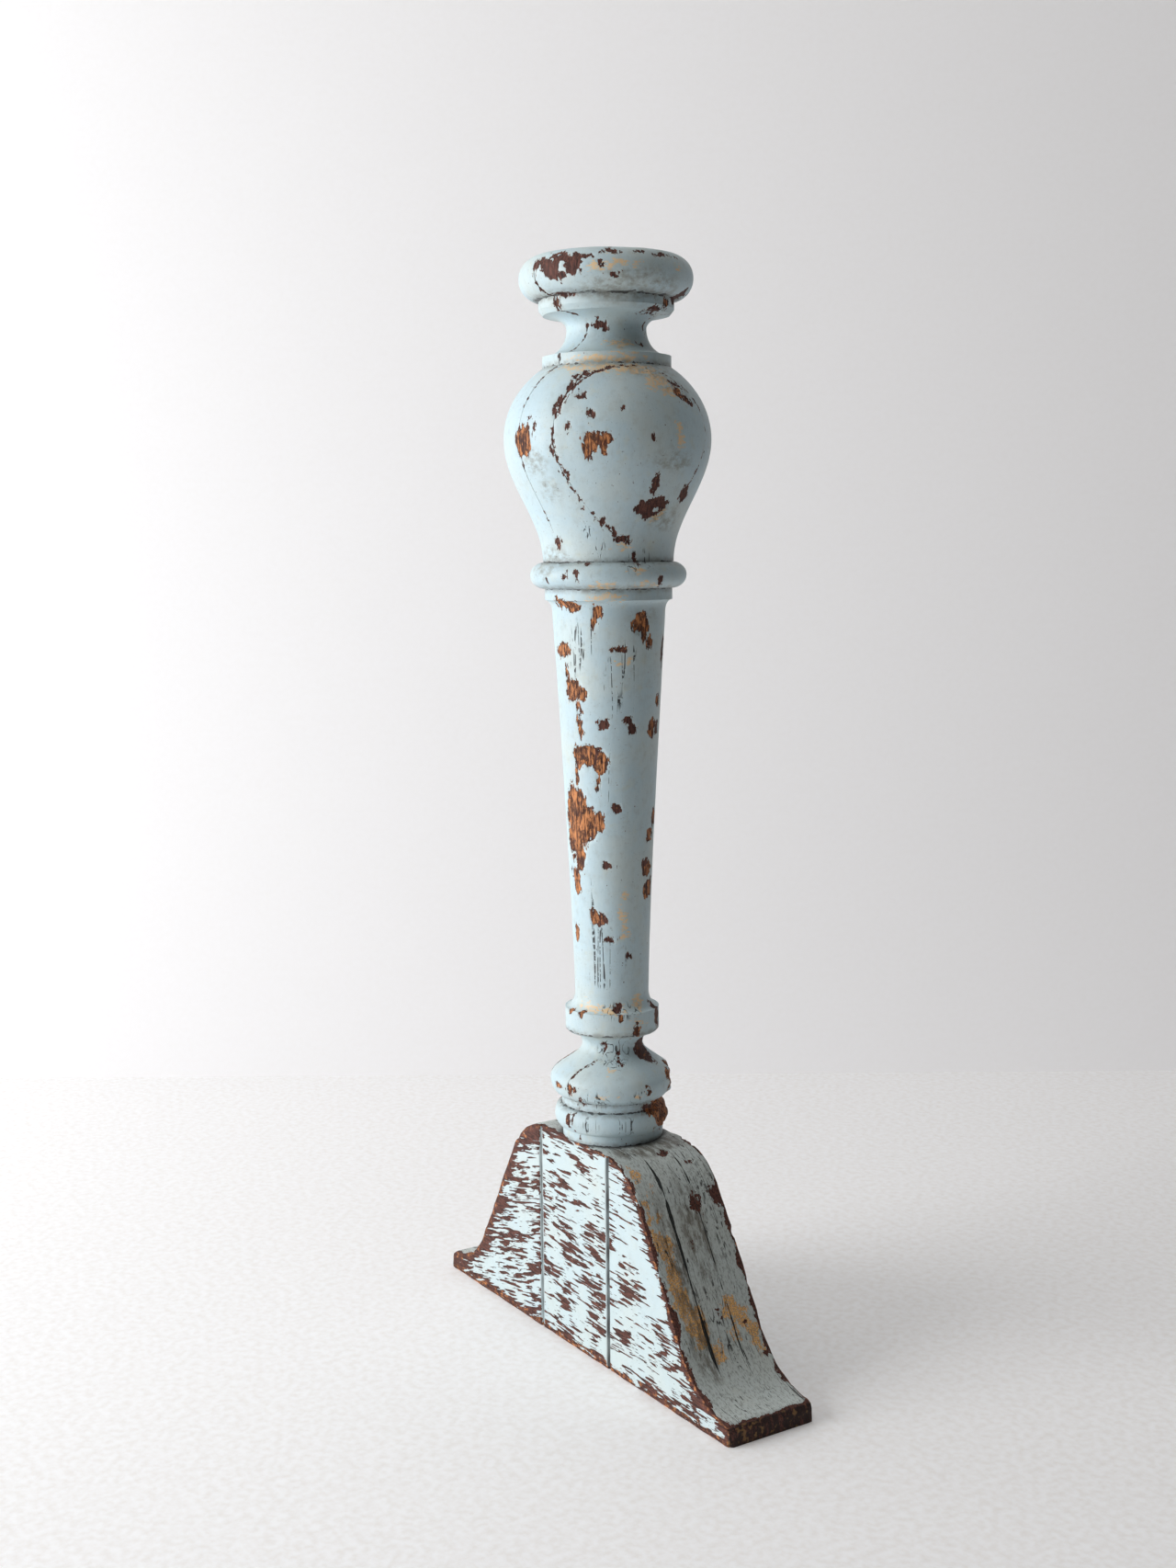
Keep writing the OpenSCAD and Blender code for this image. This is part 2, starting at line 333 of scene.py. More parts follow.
WOOD_FLAKES = [
    (-77, 522.5, 1.6, 2.6), (27, 522.5, 2.6, 2.6), (-43.5, 454, 2.6, 7), (-38, 457, 7, 2.6),
    (-35, 452, 1.6, 3),
    (-86, 457, 6.4, 8), (-40, 454.5, 3.4, 3.6), (-72, 378.5, 5, 2.6), (-84, 381, 4, 2.4),
    (-44, 376, 2.6, 3), (-47, 371, 1.6, 3.4), (0, 371, 4.6, 5), (6, 366, 2.4, 6), (14, 361, 2, 4),
    (-90, 357, 6, 4), (-23, 358, 3, 1.4),
    (-84, 345, 1.2, 7), (-76, 338, 5.4, 5), (-62, 336, 2.8, 3), (-69, 328.5, 1.6, 4.5), (-68, 320, 1, 4.5),
    (24, 319, 2.6, 4.6), (36, 332, 3, 3.6), (-74, 306, 3.4, 6), (-59, 306, 5, 5.4), (-45, 303, 4, 6.4),
    (-48, 293, 1.4, 4), (-77, 296, 1.1, 7), (-88, 272, 6, 19), (-75, 274, 5, 16), (-62, 273, 4.6, 9),
    (-48, 273, 3.4, 4.6), (-78, 254, 3, 7), (40, 273, 2.4, 5), (29, 265, 2.8, 3.2), (40, 239, 2.6, 5),
    (26, 248, 4, 3.4), (30, 238, 4.5, 5),
    (-85, 243, 2.6, 6), (-95, 246, 2.4, 3), (-58, 226, 2.6, 3.6), (-95, 216, 2.6, 4), (-97, 176, 2.6, 1.6),
    (-73, 176, 2, 1.8), (-21, 175.5, 1.6, 1.8), (-2, 168, 2, 3.6), (-75, 138.5, 3.4, 2.2),
    (-93, 139, 3, 1.8), (1, 139, 1.6, 2.2), (-99, 139, 1.6, 1.2), (14, 479, 3, 1.6), (20, 476, 3.4, 1.6),
]
PLUM_FLAKES = [
    (-66, 540, 13, 3.6), (-72, 535.5, 6, 4), (-54, 536.5, 4, 4.4), (-62, 532.5, 2.6, 2.6),
    (-36, 537.2, 2.4, 1.6),
    (-47, 541, 5, 1.4), (-4, 425, 8, 4.4), (3, 428, 6, 3.2), (-51, 487, 3.4, 1.8), (-56, 482, 1.7, 3.2),
    (-60, 477, 1.6, 3.2), (-55, 463.5, 1, 3), (-62, 470, 1.6, 3), (-50, 305, 3, 6), (17, 483, 4.4, 1.6),
    (23, 474, 3, 1.8),
]
CREAM_PATCHES = [
    (-26, 538, 4, 1.6), (-38, 535.5, 4, 1.6), (-14, 537, 2.6, 1.2), (22, 537, 1.6, 1.2), (-42, 495, 9, 1.5),
    (-18, 495.5, 8, 1.8), (-40, 490.5, 12, 2), (-12, 490, 12, 2.6), (2, 484, 7, 4), (8, 479, 6, 2),
    (-17, 503, 5, 1.4), (-60, 491, 6, 1.2), (-52, 179.5, 7, 1.6), (-36, 178, 5, 1.6), (8, 181, 3.6, 3.6),
    (-68, 178.6, 4, 1.2), (2, 421, 2, 2.4), (8, 423, 1.4, 2), (10, 457, 2.4, 3), (9, 463, 1.6, 2),
    (-20, 407, 3.6, 1), (-40, 388.6, 4, 0.9), (-12, 395.5, 3, 0.8), (-6, 388.4, 4, 0.9), (-38, 383, 6, 1.2),
    (-14, 222, 1.6, 5), (-20, 228, 1.4, 4), (-12, 236, 1.2, 2.4), (-9, 216, 1.4, 1.6), (0, 172, 3, 1),
    (-24, 351, 2, 1), (-10, 352, 1.4, 1), (-36, 148, 1, 1), (-8, 137, 1.6, 1), (-45, 137, 3, 1),
]
SMUDGES = [              # brown dirt rubbed into the paint
    (8, 447, 15, 6), (14, 421, 12, 7), (-78, 447, 9, 7), (-72, 434, 7, 6), (4, 489, 17, 5), (14, 482, 11, 6),
    (-17, 503, 8, 3), (-4, 533, 14, 3), (-14, 528, 30, 8), (-30, 387, 22, 2.4), (4, 374, 10, 4),
    (20, 130, 12, 5),
    (-90, 400, 14, 9), (150, 440, 22, 14), (110, 330, 9, 30), (-160, 250, 8, 30), (170, 530, 20, 6),
]
CHECKED = [              # where fine black checks break through
    (-49, 415, 3, 5), (-40, 407, 3, 5), (-16, 399, 5, 5), (-1, 401, 4, 5), (-68, 355, 5, 18),
    (-50, 363, 4, 9),
    (-12, 350, 5, 14), (-28, 340, 5, 16), (-36, 296, 4, 14), (-64, 232, 4, 14), (-45, 205, 12, 16),
    (-30, 156, 9, 8), (-50, 134, 8, 5), (-5, 135, 6, 5), (-20, 121, 7, 5), (-56, 121, 5, 5),
    (-20, 178, 12, 4), (160, 300, 16, 60), (120, 420, 14, 20), (200, 180, 12, 30),
]
UNSEEN = (106, 254)      # this far round from the camera no list places a flake, so they are drawn at random
FAR_DARK_COUNT = 46
FAR_WOOD_COUNT = 30


def more_flakes(count, random_source):
    """Flakes for the part of the post that no list covers."""
    flakes = []
    for _ in range(count):
        angle = TOWARDS_CAMERA + random_source.uniform(*UNSEEN)
        height = random_source.uniform(foot_z + 6, top_z - 3)
        width = random_source.uniform(0.9, 3.6) * random_source.choice((1, 1, 1.7))
        flakes.append((angle, height, width, width * random_source.uniform(0.7, 2.6)))
    return flakes


def inside(theta, z, r, flakes):
    """How far each vertex lies inside the nearest flake, in mm. It is negative outside."""
    best = np.full(len(z), -FAR)
    for angle, height, half_width, half_height in flakes:
        turn = (theta - math.radians(angle) + math.pi) % (2 * math.pi) - math.pi
        across = turn * r / half_width
        up = (z - height) / half_height
        distance = (1 - np.hypot(across, up)) * min(half_width, half_height)
        best = np.maximum(best, distance)
    return best


print("flakes in front:", len(DARK_FLAKES), "dark,", len(WOOD_FLAKES), "of wood,", len(PLUM_FLAKES), "plum")

# %% [markdown]
# ## Broken corners, worm holes and the wear of the post
#
# Three things happen to the shape itself. The wood is no longer quite round. A flake leaves a shallow
# dish, deeper where woodworm has been at the bare wood. And the two lower beads have lost a corner on
# the right. Each is a smooth move of the vertices along their normals, as a sculpting brush would make.

# %% Wear the whole post
CREASES = [foot_z, foot_z + 17, foot_z + 21.5, foot_z + 55.5, foot_z + 277, foot_z + 290, foot_z + 383.5,
           foot_z + 415.5]
CAP_FLAT_R = 34                     # the cap's top is flat inside this radius
BOARD_TURN = math.radians(-15)      # the boards' normal, from +X
GLUE_PLANE = 13.6
CHEEK_PLANE = 33.6
board_normal = np.array([math.cos(BOARD_TURN), math.sin(BOARD_TURN), 0])
board_side = np.array([-math.sin(BOARD_TURN), math.cos(BOARD_TURN), 0])
OPEN_JOINTS = [          # plane, side of the post, bottom, top, width of the gap
    (GLUE_PLANE, -1, 517, 540, 1.0),
    (GLUE_PLANE, -1, 498, 513, 0.7),
    (GLUE_PLANE, -1, 474, 499, 0.8),
    (GLUE_PLANE, -1, 416, 478, 0.45),
    (GLUE_PLANE, -1, 112, 152, 0.6),
    (GLUE_PLANE, 1, 505, 530, 0.5),
    (GLUE_PLANE, 1, 420, 480, 0.4),
    (CHEEK_PLANE, -1, 472, 494, 1.5),
    (CHEEK_PLANE, -1, 438, 476, 0.9),
    (CHEEK_PLANE, -1, 404, 442, 0.35),
    (CHEEK_PLANE, 1, 430, 492, 0.5),
    (-GLUE_PLANE, 1, 430, 500, 0.7),
    (-GLUE_PLANE, -1, 120, 150, 0.5),
    (-GLUE_PLANE, 1, 505, 540, 0.8),
    (-CHEEK_PLANE, 1, 420, 470, 0.6),
]
BREAKS = [               # angle, height, reach along the surface, reach up, depth
    (57, 139.5, 15, 7, 2.4),
    (45, 124, 18, 10, 2.6),
    (40, 119, 12, 5, 3.4),
    (33, 128, 9, 4, 1.6),
]
FLAKE_DEPTH = 0.3
WORM_DEPTH = 0.45
MOST_PROUD = 0.15        # the worn surface stands no further out than this
PLUM, VARNISHED, WOODEN, BROKEN = -0.3, 0.05, 0.8, 1.1      # what a flake shows: see the wood's `Look`
WORM_EATEN = [           # angle, height, half width, half height
    (-78, 270, 11, 20), (-58, 305, 11, 7), (-72, 343, 8, 5), (4, 368, 6, 7),
]


def along_joints(points):
    """How far each vertex lies inside the strip of paint that an opened glue line has shed."""
    across = points @ board_normal
    along = points @ board_side
    z = points[:, 2]
    best = np.full(len(z), -FAR)
    for plane, side, low, high, gap in OPEN_JOINTS:
        here = (np.sign(along) == side) * between(low, high, 2, z)
        strip = gap * 0.7 + 0.9 * cloud(np.stack([0 * z, 0 * z, z], 1), 3.2, 40 + plane) - 0.35
        best = np.maximum(best, np.where(here > 0.3, strip - np.abs(across - plane), -FAR))
    return best


def broken_off(theta, z, r, points):
    """How far each vertex lies inside the broken corner of the lower beads, and the depth of the break."""
    outline_noise = 2.4 * cloud(points, (5, 5, 4), 15)
    rough = 1 + 0.4 * cloud(points, (2.6, 2.6, 8), 5) + 0.15 * cloud(points, 1.6, 6)
    broken = np.full(len(z), -FAR)
    depth = np.zeros(len(z))
    for angle, height, wide, tall, deep in BREAKS:
        near = inside(theta, z, r, [(angle, height, wide, tall)]) + outline_noise
        broken = np.maximum(broken, near)
        depth = np.maximum(depth, smooth_step(0, min(wide, tall) * 0.55, near) * deep * rough)
    return broken, depth


def wear_post(post):
    mesh = post.data
    points = read_points(mesh) / MM
    normals = read_points(mesh, "normal")
    x, y, z = points.T
    theta = np.arctan2(y, x)
    r = np.hypot(x, y)
    shown = smooth_step(foot_z - 0.5, foot_z + 1, z) * smooth_step(SOCKET_R - 0.5, SOCKET_R + 1.5, r)

    # outlines wander, and on the flat top the height is counted inwards
    bent_theta = theta + cloud(points, 5, 1) * 1.2 / np.maximum(r, 5)
    bent_z = z + cloud(points, 5, 2) * 1.6 + np.maximum(0, CAP_FLAT_R - r) * (z > top_z - 3)

    source = random.Random(11)
    far_dark, far_wood = more_flakes(FAR_DARK_COUNT, source), more_flakes(FAR_WOOD_COUNT, source)
    dark = inside(bent_theta, bent_z, r, DARK_FLAKES + far_dark)
    wood = inside(bent_theta, bent_z, r, WOOD_FLAKES + far_wood)
    plum = inside(bent_theta, bent_z, r, PLUM_FLAKES) - 3 * smooth_step(0.2, 0.5, cloud(points, 3.4, 14))
    worm = inside(bent_theta, bent_z, r, WORM_EATEN)
    broken, depth = broken_off(bent_theta, bent_z, r, points)
    bare = np.maximum.reduce([dark, wood, plum, broken, along_joints(points)])
    look = np.select([bare == broken, bare == wood, bare == plum], [BROKEN, WOODEN, PLUM], VARNISHED)

    dish = smooth_step(-0.2, 0.8, bare) * FLAKE_DEPTH
    furrows = cloud(points, (1.3, 1.3, 9), 7) + 0.6 * cloud(points, (2.2, 2.2, 3), 8)
    eaten = smooth_step(0, 2.5, np.minimum(worm, wood + 1.5)) * (WORM_DEPTH + 0.5 * furrows)
    uneven = 0.22 * cloud(points, (18, 18, 60), 3) + 0.05 * cloud(points, (4, 4, 9), 4)
    move = np.minimum((uneven - dish - eaten - depth) * shown, MOST_PROUD)
    write_points(mesh, (points + normals * move[:, None]) * MM)

    write_mask(mesh, "bare", np.clip(bare, -6, 6) * shown + 6 * (shown - 1))
    write_mask(mesh, "look", look)
    write_mask(mesh, "cream", np.clip(inside(bent_theta, bent_z, r, CREAM_PATCHES), -6, 6))
    write_mask(mesh, "smudge", smooth_step(-1.5, 3.5, inside(bent_theta, bent_z, r, SMUDGES)))
    write_mask(mesh, "checked", smooth_step(-0.5, 1.5, inside(theta, z, r, CHECKED)))
    crease = np.min([np.abs(z - height) for height in CREASES], axis=0)
    write_mask(mesh, "crease", np.where(r < BULB_R - 8, crease, FAR))


wear_post(whole_post)
print("worn post:", [round(value, 4) for value in whole_post.dimensions])

# %% [markdown]
# ## Sawing the post into its boards
#
# The blank was five boards side by side. The middle one is the core, and the outer two are left only as
# thin cheeks on the bulb, the ring and the cap. Bisect cuts the whole post along a glue line and fills
# the cut. Where a glue line has opened, the vertices on both sides of it draw back a little, so the
# crack is a real gap.

# %% Saw out the boards
EASE = 5                 # the move fades out this far from the glue line


def open_joints(mesh, away):
    """Draws a board's edge back from each opened glue line. away(plane) is the way it goes: 1, -1 or 0."""
    points = read_points(mesh) / MM
    across = points @ board_normal
    along = points @ board_side
    z = points[:, 2]
    move = np.zeros(len(z))
    skin = smooth_step(3, 8, np.hypot(points[:, 0], points[:, 1]))
    ragged = 1 + 0.5 * cloud(np.stack([along * 0, along * 0, z], 1), 3.5, 9)
    for plane, side, low, high, gap in OPEN_JOINTS:
        distance = across - plane
        here = (np.sign(along) == side) * between(low, high, 3, z)
        fade = 1 - smooth_step(0, EASE, np.abs(distance))
        move += away(plane) * gap / 2 * ragged * here * fade * skin
    write_points(mesh, (points + move[:, None] * board_normal) * MM)


def saw(name, cuts, away):
    """Copies the whole post and keeps what lies between planes. cuts is a list of (normal, offset):
    what is further along the normal than the offset is thrown away. away is told in open_joints."""
    piece = whole_post.copy()
    piece.data = whole_post.data.copy()
    piece.name = name
    scene.collection.objects.link(piece)
    only(piece)
    bpy.ops.object.mode_set(mode="EDIT")
    for normal, offset in cuts:
        bpy.ops.mesh.select_all(action="SELECT")
        bpy.ops.mesh.bisect(plane_co=Vector(normal) * offset * MM, plane_no=normal,
                            use_fill=True, clear_outer=True, threshold=0.001 * MM)
    bpy.ops.object.mode_set(mode="OBJECT")
    for face in piece.data.polygons:                # only a sawn face has many corners
        face.material_index = 1 if len(face.vertices) > 12 else 0
    open_joints(piece.data, away)
    bpy.ops.object.shade_smooth_by_angle(angle=SMOOTH_ANGLE)
    return piece


up = (0, 0, 1)
down = (0, 0, -1)
right = tuple(board_normal)
left = tuple(-board_normal)
BULB_HEIGHTS = (foot_z + 290, foot_z + 388.7)
RING_HEIGHTS = (foot_z + 271.5, foot_z + 290)
CAP_HEIGHTS = (foot_z + 408.5, top_z + 5)

pieces = {}
pieces["post_core_board"] = saw("post_core", [(right, GLUE_PLANE), (left, GLUE_PLANE)],
                                lambda plane: -np.sign(plane) if abs(plane) == GLUE_PLANE else 0)
for side, outward, inward in (("right", right, left), ("left", left, right)):
    sign = 1 if side == "right" else -1

    def on_board(plane, sign=sign):
        if np.sign(plane) != sign:
            return 0
        return sign if abs(plane) == GLUE_PLANE else -sign

    def on_cheek(plane, sign=sign):
        return sign if plane == sign * CHEEK_PLANE else 0

    planes = [(outward, CHEEK_PLANE), (inward, -GLUE_PLANE)]
    pieces[f"post_{side}_board"] = saw(f"post_{side}", planes, on_board)
    for part, (low, high) in (("bulb", BULB_HEIGHTS), ("ring", RING_HEIGHTS), ("cap", CAP_HEIGHTS)):
        planes = [(inward, -CHEEK_PLANE), (up, high), (down, -low)]
        pieces[f"{part}_{side}_cheek"] = saw(f"{part}_{side}_side", planes, on_cheek)
bpy.data.objects.remove(whole_post)
print("post pieces:", {name: len(piece.data.polygons) for name, piece in pieces.items()})

# %% [markdown]
# ## The base boards
#
# The base is three boards sawn to the same ogee. A grid is stood up on edge and its vertices are moved
# so that the top row follows the ogee. The grid is bisected where the two V grooves run, and extruded
# through the board's thickness. A cylinder is then taken away from it for the tenon.

# %% Ogee outline of the base
BASE_LENGTH = (base_box[1].x - base_box[0].x) / MM
BASE_FRONT = base_box[0].y / MM
BASE_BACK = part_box("base_back_board")[1].y / MM
CORE_FRONT = base_box[1].y / MM
CORE_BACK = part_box("base_back_board")[0].y / MM
OGEE_SLOPE = math.radians(60)
SHOULDER_SHARE = 0.47    # of the two bends, how much is the shoulder's
FLAT_HALF = 27
TOE_HEIGHT = 10
GROOVE_X = 32
GROOVE_HALF = 1.3
GROOVE_DEPTH = 1.5
CRACK_HALF = 0.5         # how far each board draws back from an open glue line

toe_end = BASE_LENGTH / 2
wing_run = toe_end - FLAT_HALF
wing_rise = foot_z - TOE_HEIGHT
radius_sum = (wing_run * math.sin(OGEE_SLOPE) - wing_rise * math.cos(OGEE_SLOPE)) / (1 - math.cos(OGEE_SLOPE))
shoulder_r = radius_sum * SHOULDER_SHARE
toe_r = radius_sum - shoulder_r
shoulder_end = FLAT_HALF + shoulder_r * math.sin(OGEE_SLOPE)
toe_start = toe_end - toe_r * math.sin(OGEE_SLOPE)


def ogee_height(x):
    """Height of the base's top at a distance x from its middle."""
    x = abs(x)
    if x <= FLAT_HALF:
        return foot_z
    if x <= shoulder_end:
        return foot_z - shoulder_r + math.sqrt(shoulder_r ** 2 - (x - FLAT_HALF) ** 2)
    if x < toe_start:
        shoulder_foot = foot_z - shoulder_r * (1 - math.cos(OGEE_SLOPE))
        return shoulder_foot - math.tan(OGEE_SLOPE) * (x - shoulder_end)
    return TOE_HEIGHT + toe_r - math.sqrt(max(0, toe_r ** 2 - (toe_end - x) ** 2))


print("ogee: shoulder radius", round(shoulder_r, 1), "toe radius", round(toe_r, 1))

# %% Shape of a base board
GRID = 1.4               # distance between the vertices of a board
HOLE_SIDES = 96
GLUE_GAP = 0.1           # around the tenon
GLUE_ROOM = 2            # and under it


def stand_grid():
    """A grid in the XZ plane whose top row follows the ogee, with lines where the grooves run."""
    bpy.ops.object.select_all(action="DESELECT")
    columns, rows = round(BASE_LENGTH / GRID), round(foot_z / GRID)
    bpy.ops.mesh.primitive_grid_add(x_subdivisions=columns, y_subdivisions=rows, size=1)
    board = bpy.context.object
    points = read_points(board.data)
    x = points[:, 0] * BASE_LENGTH
    share = points[:, 1] + 0.5
    top = np.array([ogee_height(value) for value in x])
    write_points(board.data, np.stack([x, 0 * x, share * top], 1) * MM)
    bpy.ops.object.mode_set(mode="EDIT")
    for middle in (-GROOVE_X, GROOVE_X):
        for offset in (-GROOVE_HALF, 0, GROOVE_HALF):
            bpy.ops.mesh.select_all(action="SELECT")
            bpy.ops.mesh.bisect(plane_co=((middle + offset) * MM, 0, 0), plane_no=(1, 0, 0))
    return board


def make_board(name, near, far):
    """A board of the base from y = near to y = far."""
    board = stand_grid()
    board.name = name
    bpy.ops.mesh.select_all(action="SELECT")
    bpy.ops.transform.translate(value=(0, near * MM, 0))
    steps = round((far - near) / GRID)
    for _ in range(steps):
        extrude_by((0, (far - near) / steps, 0))
    bpy.ops.mesh.select_all(action="SELECT")
    bpy.ops.mesh.normals_make_consistent(inside=False)
    bpy.ops.object.mode_set(mode="OBJECT")
    return board


def drill_for_tenon(board):
    """Drills the hole that the tenon stands in, with room for glue."""
    floor_z = tenon_z - GLUE_ROOM
    above = foot_z + 5
    bpy.ops.object.select_all(action="DESELECT")
    bpy.ops.mesh.primitive_cylinder_add(vertices=HOLE_SIDES, radius=(TENON_R + GLUE_GAP) * MM,
                                        depth=(above - floor_z) * MM,
                                        location=(0, 0, (floor_z + above) / 2 * MM))
    drill = bpy.context.object
    only(board)
    hole = board.modifiers.new("tenon hole", "BOOLEAN")
    hole.operation = "DIFFERENCE"
    hole.object = drill
    bpy.ops.object.modifier_apply(modifier=hole.name)
    bpy.data.objects.remove(drill)


boards = []
for name, near, far in (("base_front", BASE_FRONT, CORE_FRONT), ("base_centre", CORE_FRONT, CORE_BACK),
                        ("base_back", CORE_BACK, BASE_BACK)):
    boards.append(make_board(name, near, far))
    drill_for_tenon(boards[-1])
print("boards:", {board.name: len(board.data.vertices) for board in boards})

# %% [markdown]
# ## Wear of the base
#
# On the real base the arrises are bare and rounded, the toes are rubbed, and chips have come out of the
# sloping top. Each vertex is measured from those edges first, and then moved, the less the further away
# it is. The V grooves are pressed in on the way. What the material needs to know, such as how far a
# vertex lies from a glue line, is stored with it.

# %% Wear of a base board
SLOPE_FLAKES = [         # x, y, half length, half width: dark chips in the sloping top
    (38, 4, 2.2, 3.4), (61.5, 8, 2.4, 3.6), (60, 21, 2.6, 4), (62, 25, 3, 2.6), (47, 14, 0.8, 1.8),
    (92, 16, 0.9, 1), (88, 2, 0.8, 1.2), (70, -1, 0.7, 0.8), (101, 21, 1.6, 1.6), (112, 23, 2.4, 1.6),
    (-45, 3, 3, 3), (-62, -14, 2, 4), (-72, 10, 3, 3), (-90, 18, 2, 5), (-112, 0, 7, 3), (-66, -2, 1, 2),
    (-84, -8, 1, 1.4),
]
TAN_PATCHES = [          # x, y, half length, half width: the oldest paint shows
    (47, -18, 3, 3), (56, -18, 6, 3.4), (68, -18, 9, 4.4), (80, -16, 10, 5.4), (91, -11, 6, 6),
    (90, 11, 5, 7), (97, -6, 4, 5), (95, 19, 5, 4), (-58, -15, 12, 4), (-92, 8, 8, 5), (-80, -17, 8, 3),
]
STAINS = [               # x, y, half length, half width: dark brown dirt on the sloping top
    (76, -13, 20, 6), (94, -12, 12, 7), (68, 3, 14, 8), (30, 0, 10, 22), (-60, 4, 26, 14),
]
ARRIS = 2.2              # how far in from its corner an arris is rounded
ARRIS_DEPTH = 0.75
SOLE_DEPTH = 0.7         # the lower edge of a face is rubbed back this far
TOE_DEPTH = 1.2
CHIP_DEPTH = 0.7
RULER_HALF = 140         # a ruler along the base, a little longer than it, to measure the ogee's slope on
RULER_STEP = 0.5


def slope_distance(x, y, spots):
    """How far each point lies inside the nearest spot, in mm. It is negative outside."""
    best = np.full(len(x), -FAR)
    for middle_x, middle_y, half_length, half_width in spots:
        far = np.hypot((x - middle_x) / half_length, (y - middle_y) / half_width)
        best = np.maximum(best, (1 - far) * min(half_length, half_width))
    return best


def measure_board(points):
    """Where each vertex lies on the sound board. x, y and z are views, which follow the moving points."""
    x, y, z = points.T
    ruler = np.arange(-RULER_HALF, RULER_HALF + RULER_STEP, RULER_STEP)
    tilt = np.interp(x, ruler, np.gradient(np.array([ogee_height(value) for value in ruler]), RULER_STEP))
    below = (np.array([ogee_height(value) for value in x]) - z) / np.hypot(1, tilt)
    end = toe_end - np.abs(x)
    in_from_end = np.stack([-np.sign(x), 0 * x, 0 * x], 1)
    in_from_ogee = np.stack([-np.sign(x) * np.abs(tilt), 0 * x, -np.ones(len(x))], 1)
    in_from_ogee /= np.linalg.norm(in_from_ogee, axis=1)[:, None]
    shell = np.minimum(below, end)
    return SimpleNamespace(
        x=x, y=y, z=z,
        below=below,                                        # distance in from the ogee
        end=end,                                            # from the toe's end
        shell=shell,                                        # from either
        face=np.minimum(y - BASE_FRONT, BASE_BACK - y),     # and from the front or back of the base
        outward=np.where(y < 0, -1.0, 1.0),
        inward=np.where((end < below)[:, None], in_from_end, in_from_ogee),
        groove=np.minimum(np.abs(x - GROOVE_X), np.abs(x + GROOVE_X)),
        on_top=1 - smooth_step(0.1, 1.0, shell))


def wear_corners(points, at):
    """Presses the grooves in and rounds the arrises, with pieces broken out of them."""
    in_groove = (at.face < 0.1) * np.clip(1 - at.groove / GROOVE_HALF, 0, 1)
    points[:, 1] -= at.outward * in_groove * GROOVE_DEPTH
    worn = 0.55 + 0.45 * cloud(points, (6, 40, 6), 21)
    bitten = smooth_step(0.25, 0.6, cloud(points, (5, 40, 5), 22)) * 1.3
    corner = np.clip(1 - (at.shell + at.face) / ARRIS, 0, 1) * (worn + bitten)
    points += at.inward * (corner * ARRIS_DEPTH)[:, None]
    points[:, 1] -= at.outward * corner * ARRIS_DEPTH
    sole = np.clip(1 - (at.z + at.face) / 2.0, 0, 1) * (0.5 + 0.5 * cloud(points, (8, 40, 8), 23))
    points[:, 1] -= at.outward * sole * SOLE_DEPTH
    toe_corner = np.clip(1 - (at.below + at.end) / 3.5, 0, 1)
    points[:, 0] -= np.sign(at.x) * toe_corner * TOE_DEPTH
    points[:, 2] -= toe_corner * TOE_DEPTH


def open_glue_lines(points, at, is_core):
    """Draws the board back from its opened glue lines. Returns how near each vertex is to one, and how open
    it is there."""
    near_line = np.minimum(np.abs(at.y - CORE_FRONT), np.abs(at.y - CORE_BACK))
    right = smooth_step(38, 48, at.x) * (1 - smooth_step(98, 106, at.x)) * np.where(at.y < 0, 1.0, 0.45)
    right = right * (0.75 + 0.5 * cloud(points, (7, 90, 90), 27))
    left = 0.5 * smooth_step(40, 60, -at.x) * (1 - smooth_step(90, 110, -at.x))
    opened = np.maximum(right, left) * (0.45 + 0.55 * smooth_step(-0.35, 0.1, cloud(points, (5, 90, 90), 34)))
    gape = opened * (1 - smooth_step(0, 9, at.shell)) * (1 - smooth_step(0, 2.4, near_line))
    points[:, 1] += at.outward * gape * (-CRACK_HALF if is_core else CRACK_HALF)
    return near_line, opened


def streak_level(points, at, on_face):
    """How much paint the streaks have left on the face: the higher, the more wood shows."""
    x, z, shell = at.x, at.z, at.shell
    level = np.where(x < -GROOVE_X, 0.015, np.where(x < GROOVE_X, -0.002, -0.02))
    level = level + 0.05 * cloud(points, 20, 29)
    level = level + 0.12 * (1 - smooth_step(1, 9, z)) + 0.13 * (1 - smooth_step(0.5, 7, shell))
    level = level + 0.1 * (x < -GROOVE_X) * (1 - smooth_step(2, 12, shell))
    level = level - 0.05 * (np.abs(x) < GROOVE_X) * smooth_step(80, 100, z)
    level = level + 0.07 * (1 - smooth_step(0, 6, np.abs(x + GROOVE_X))) * (at.groove > GROOVE_HALF)
    return np.where((at.groove > GROOVE_HALF) & (on_face > 0.3), level, -0.5)


def rubbed_edges(at, on_face):
    """Where the face's edges are rubbed down to the wood."""
    left_edge = (at.x < -GROOVE_X) * (1 - smooth_step(1, 7, at.shell))
    rubbed = np.maximum(1 - smooth_step(2, 7, at.z), left_edge)
    return np.maximum(rubbed, (at.x > 0) * (1 - smooth_step(0.5, 3.5, at.shell))) * on_face


def edge_flakes(points, at):
    """How far each vertex lies inside the chipped strip along the arrises, in mm."""
    chipped = 1.9 + 4.2 * cloud(points, (9, 30, 9), 32) + 1.2 * smooth_step(50, 90, at.x)
    at_sole = 2.6 + 2 * cloud(points, (8, 30, 8), 35) - (at.z + at.face) * 0.9
    at_toe = 4.0 + 2.6 * cloud(points, (5, 4, 5), 33) - 1.7 * at.end
    return np.maximum(np.maximum(chipped - (at.shell + at.face) * 1.2, at_sole), at_toe)


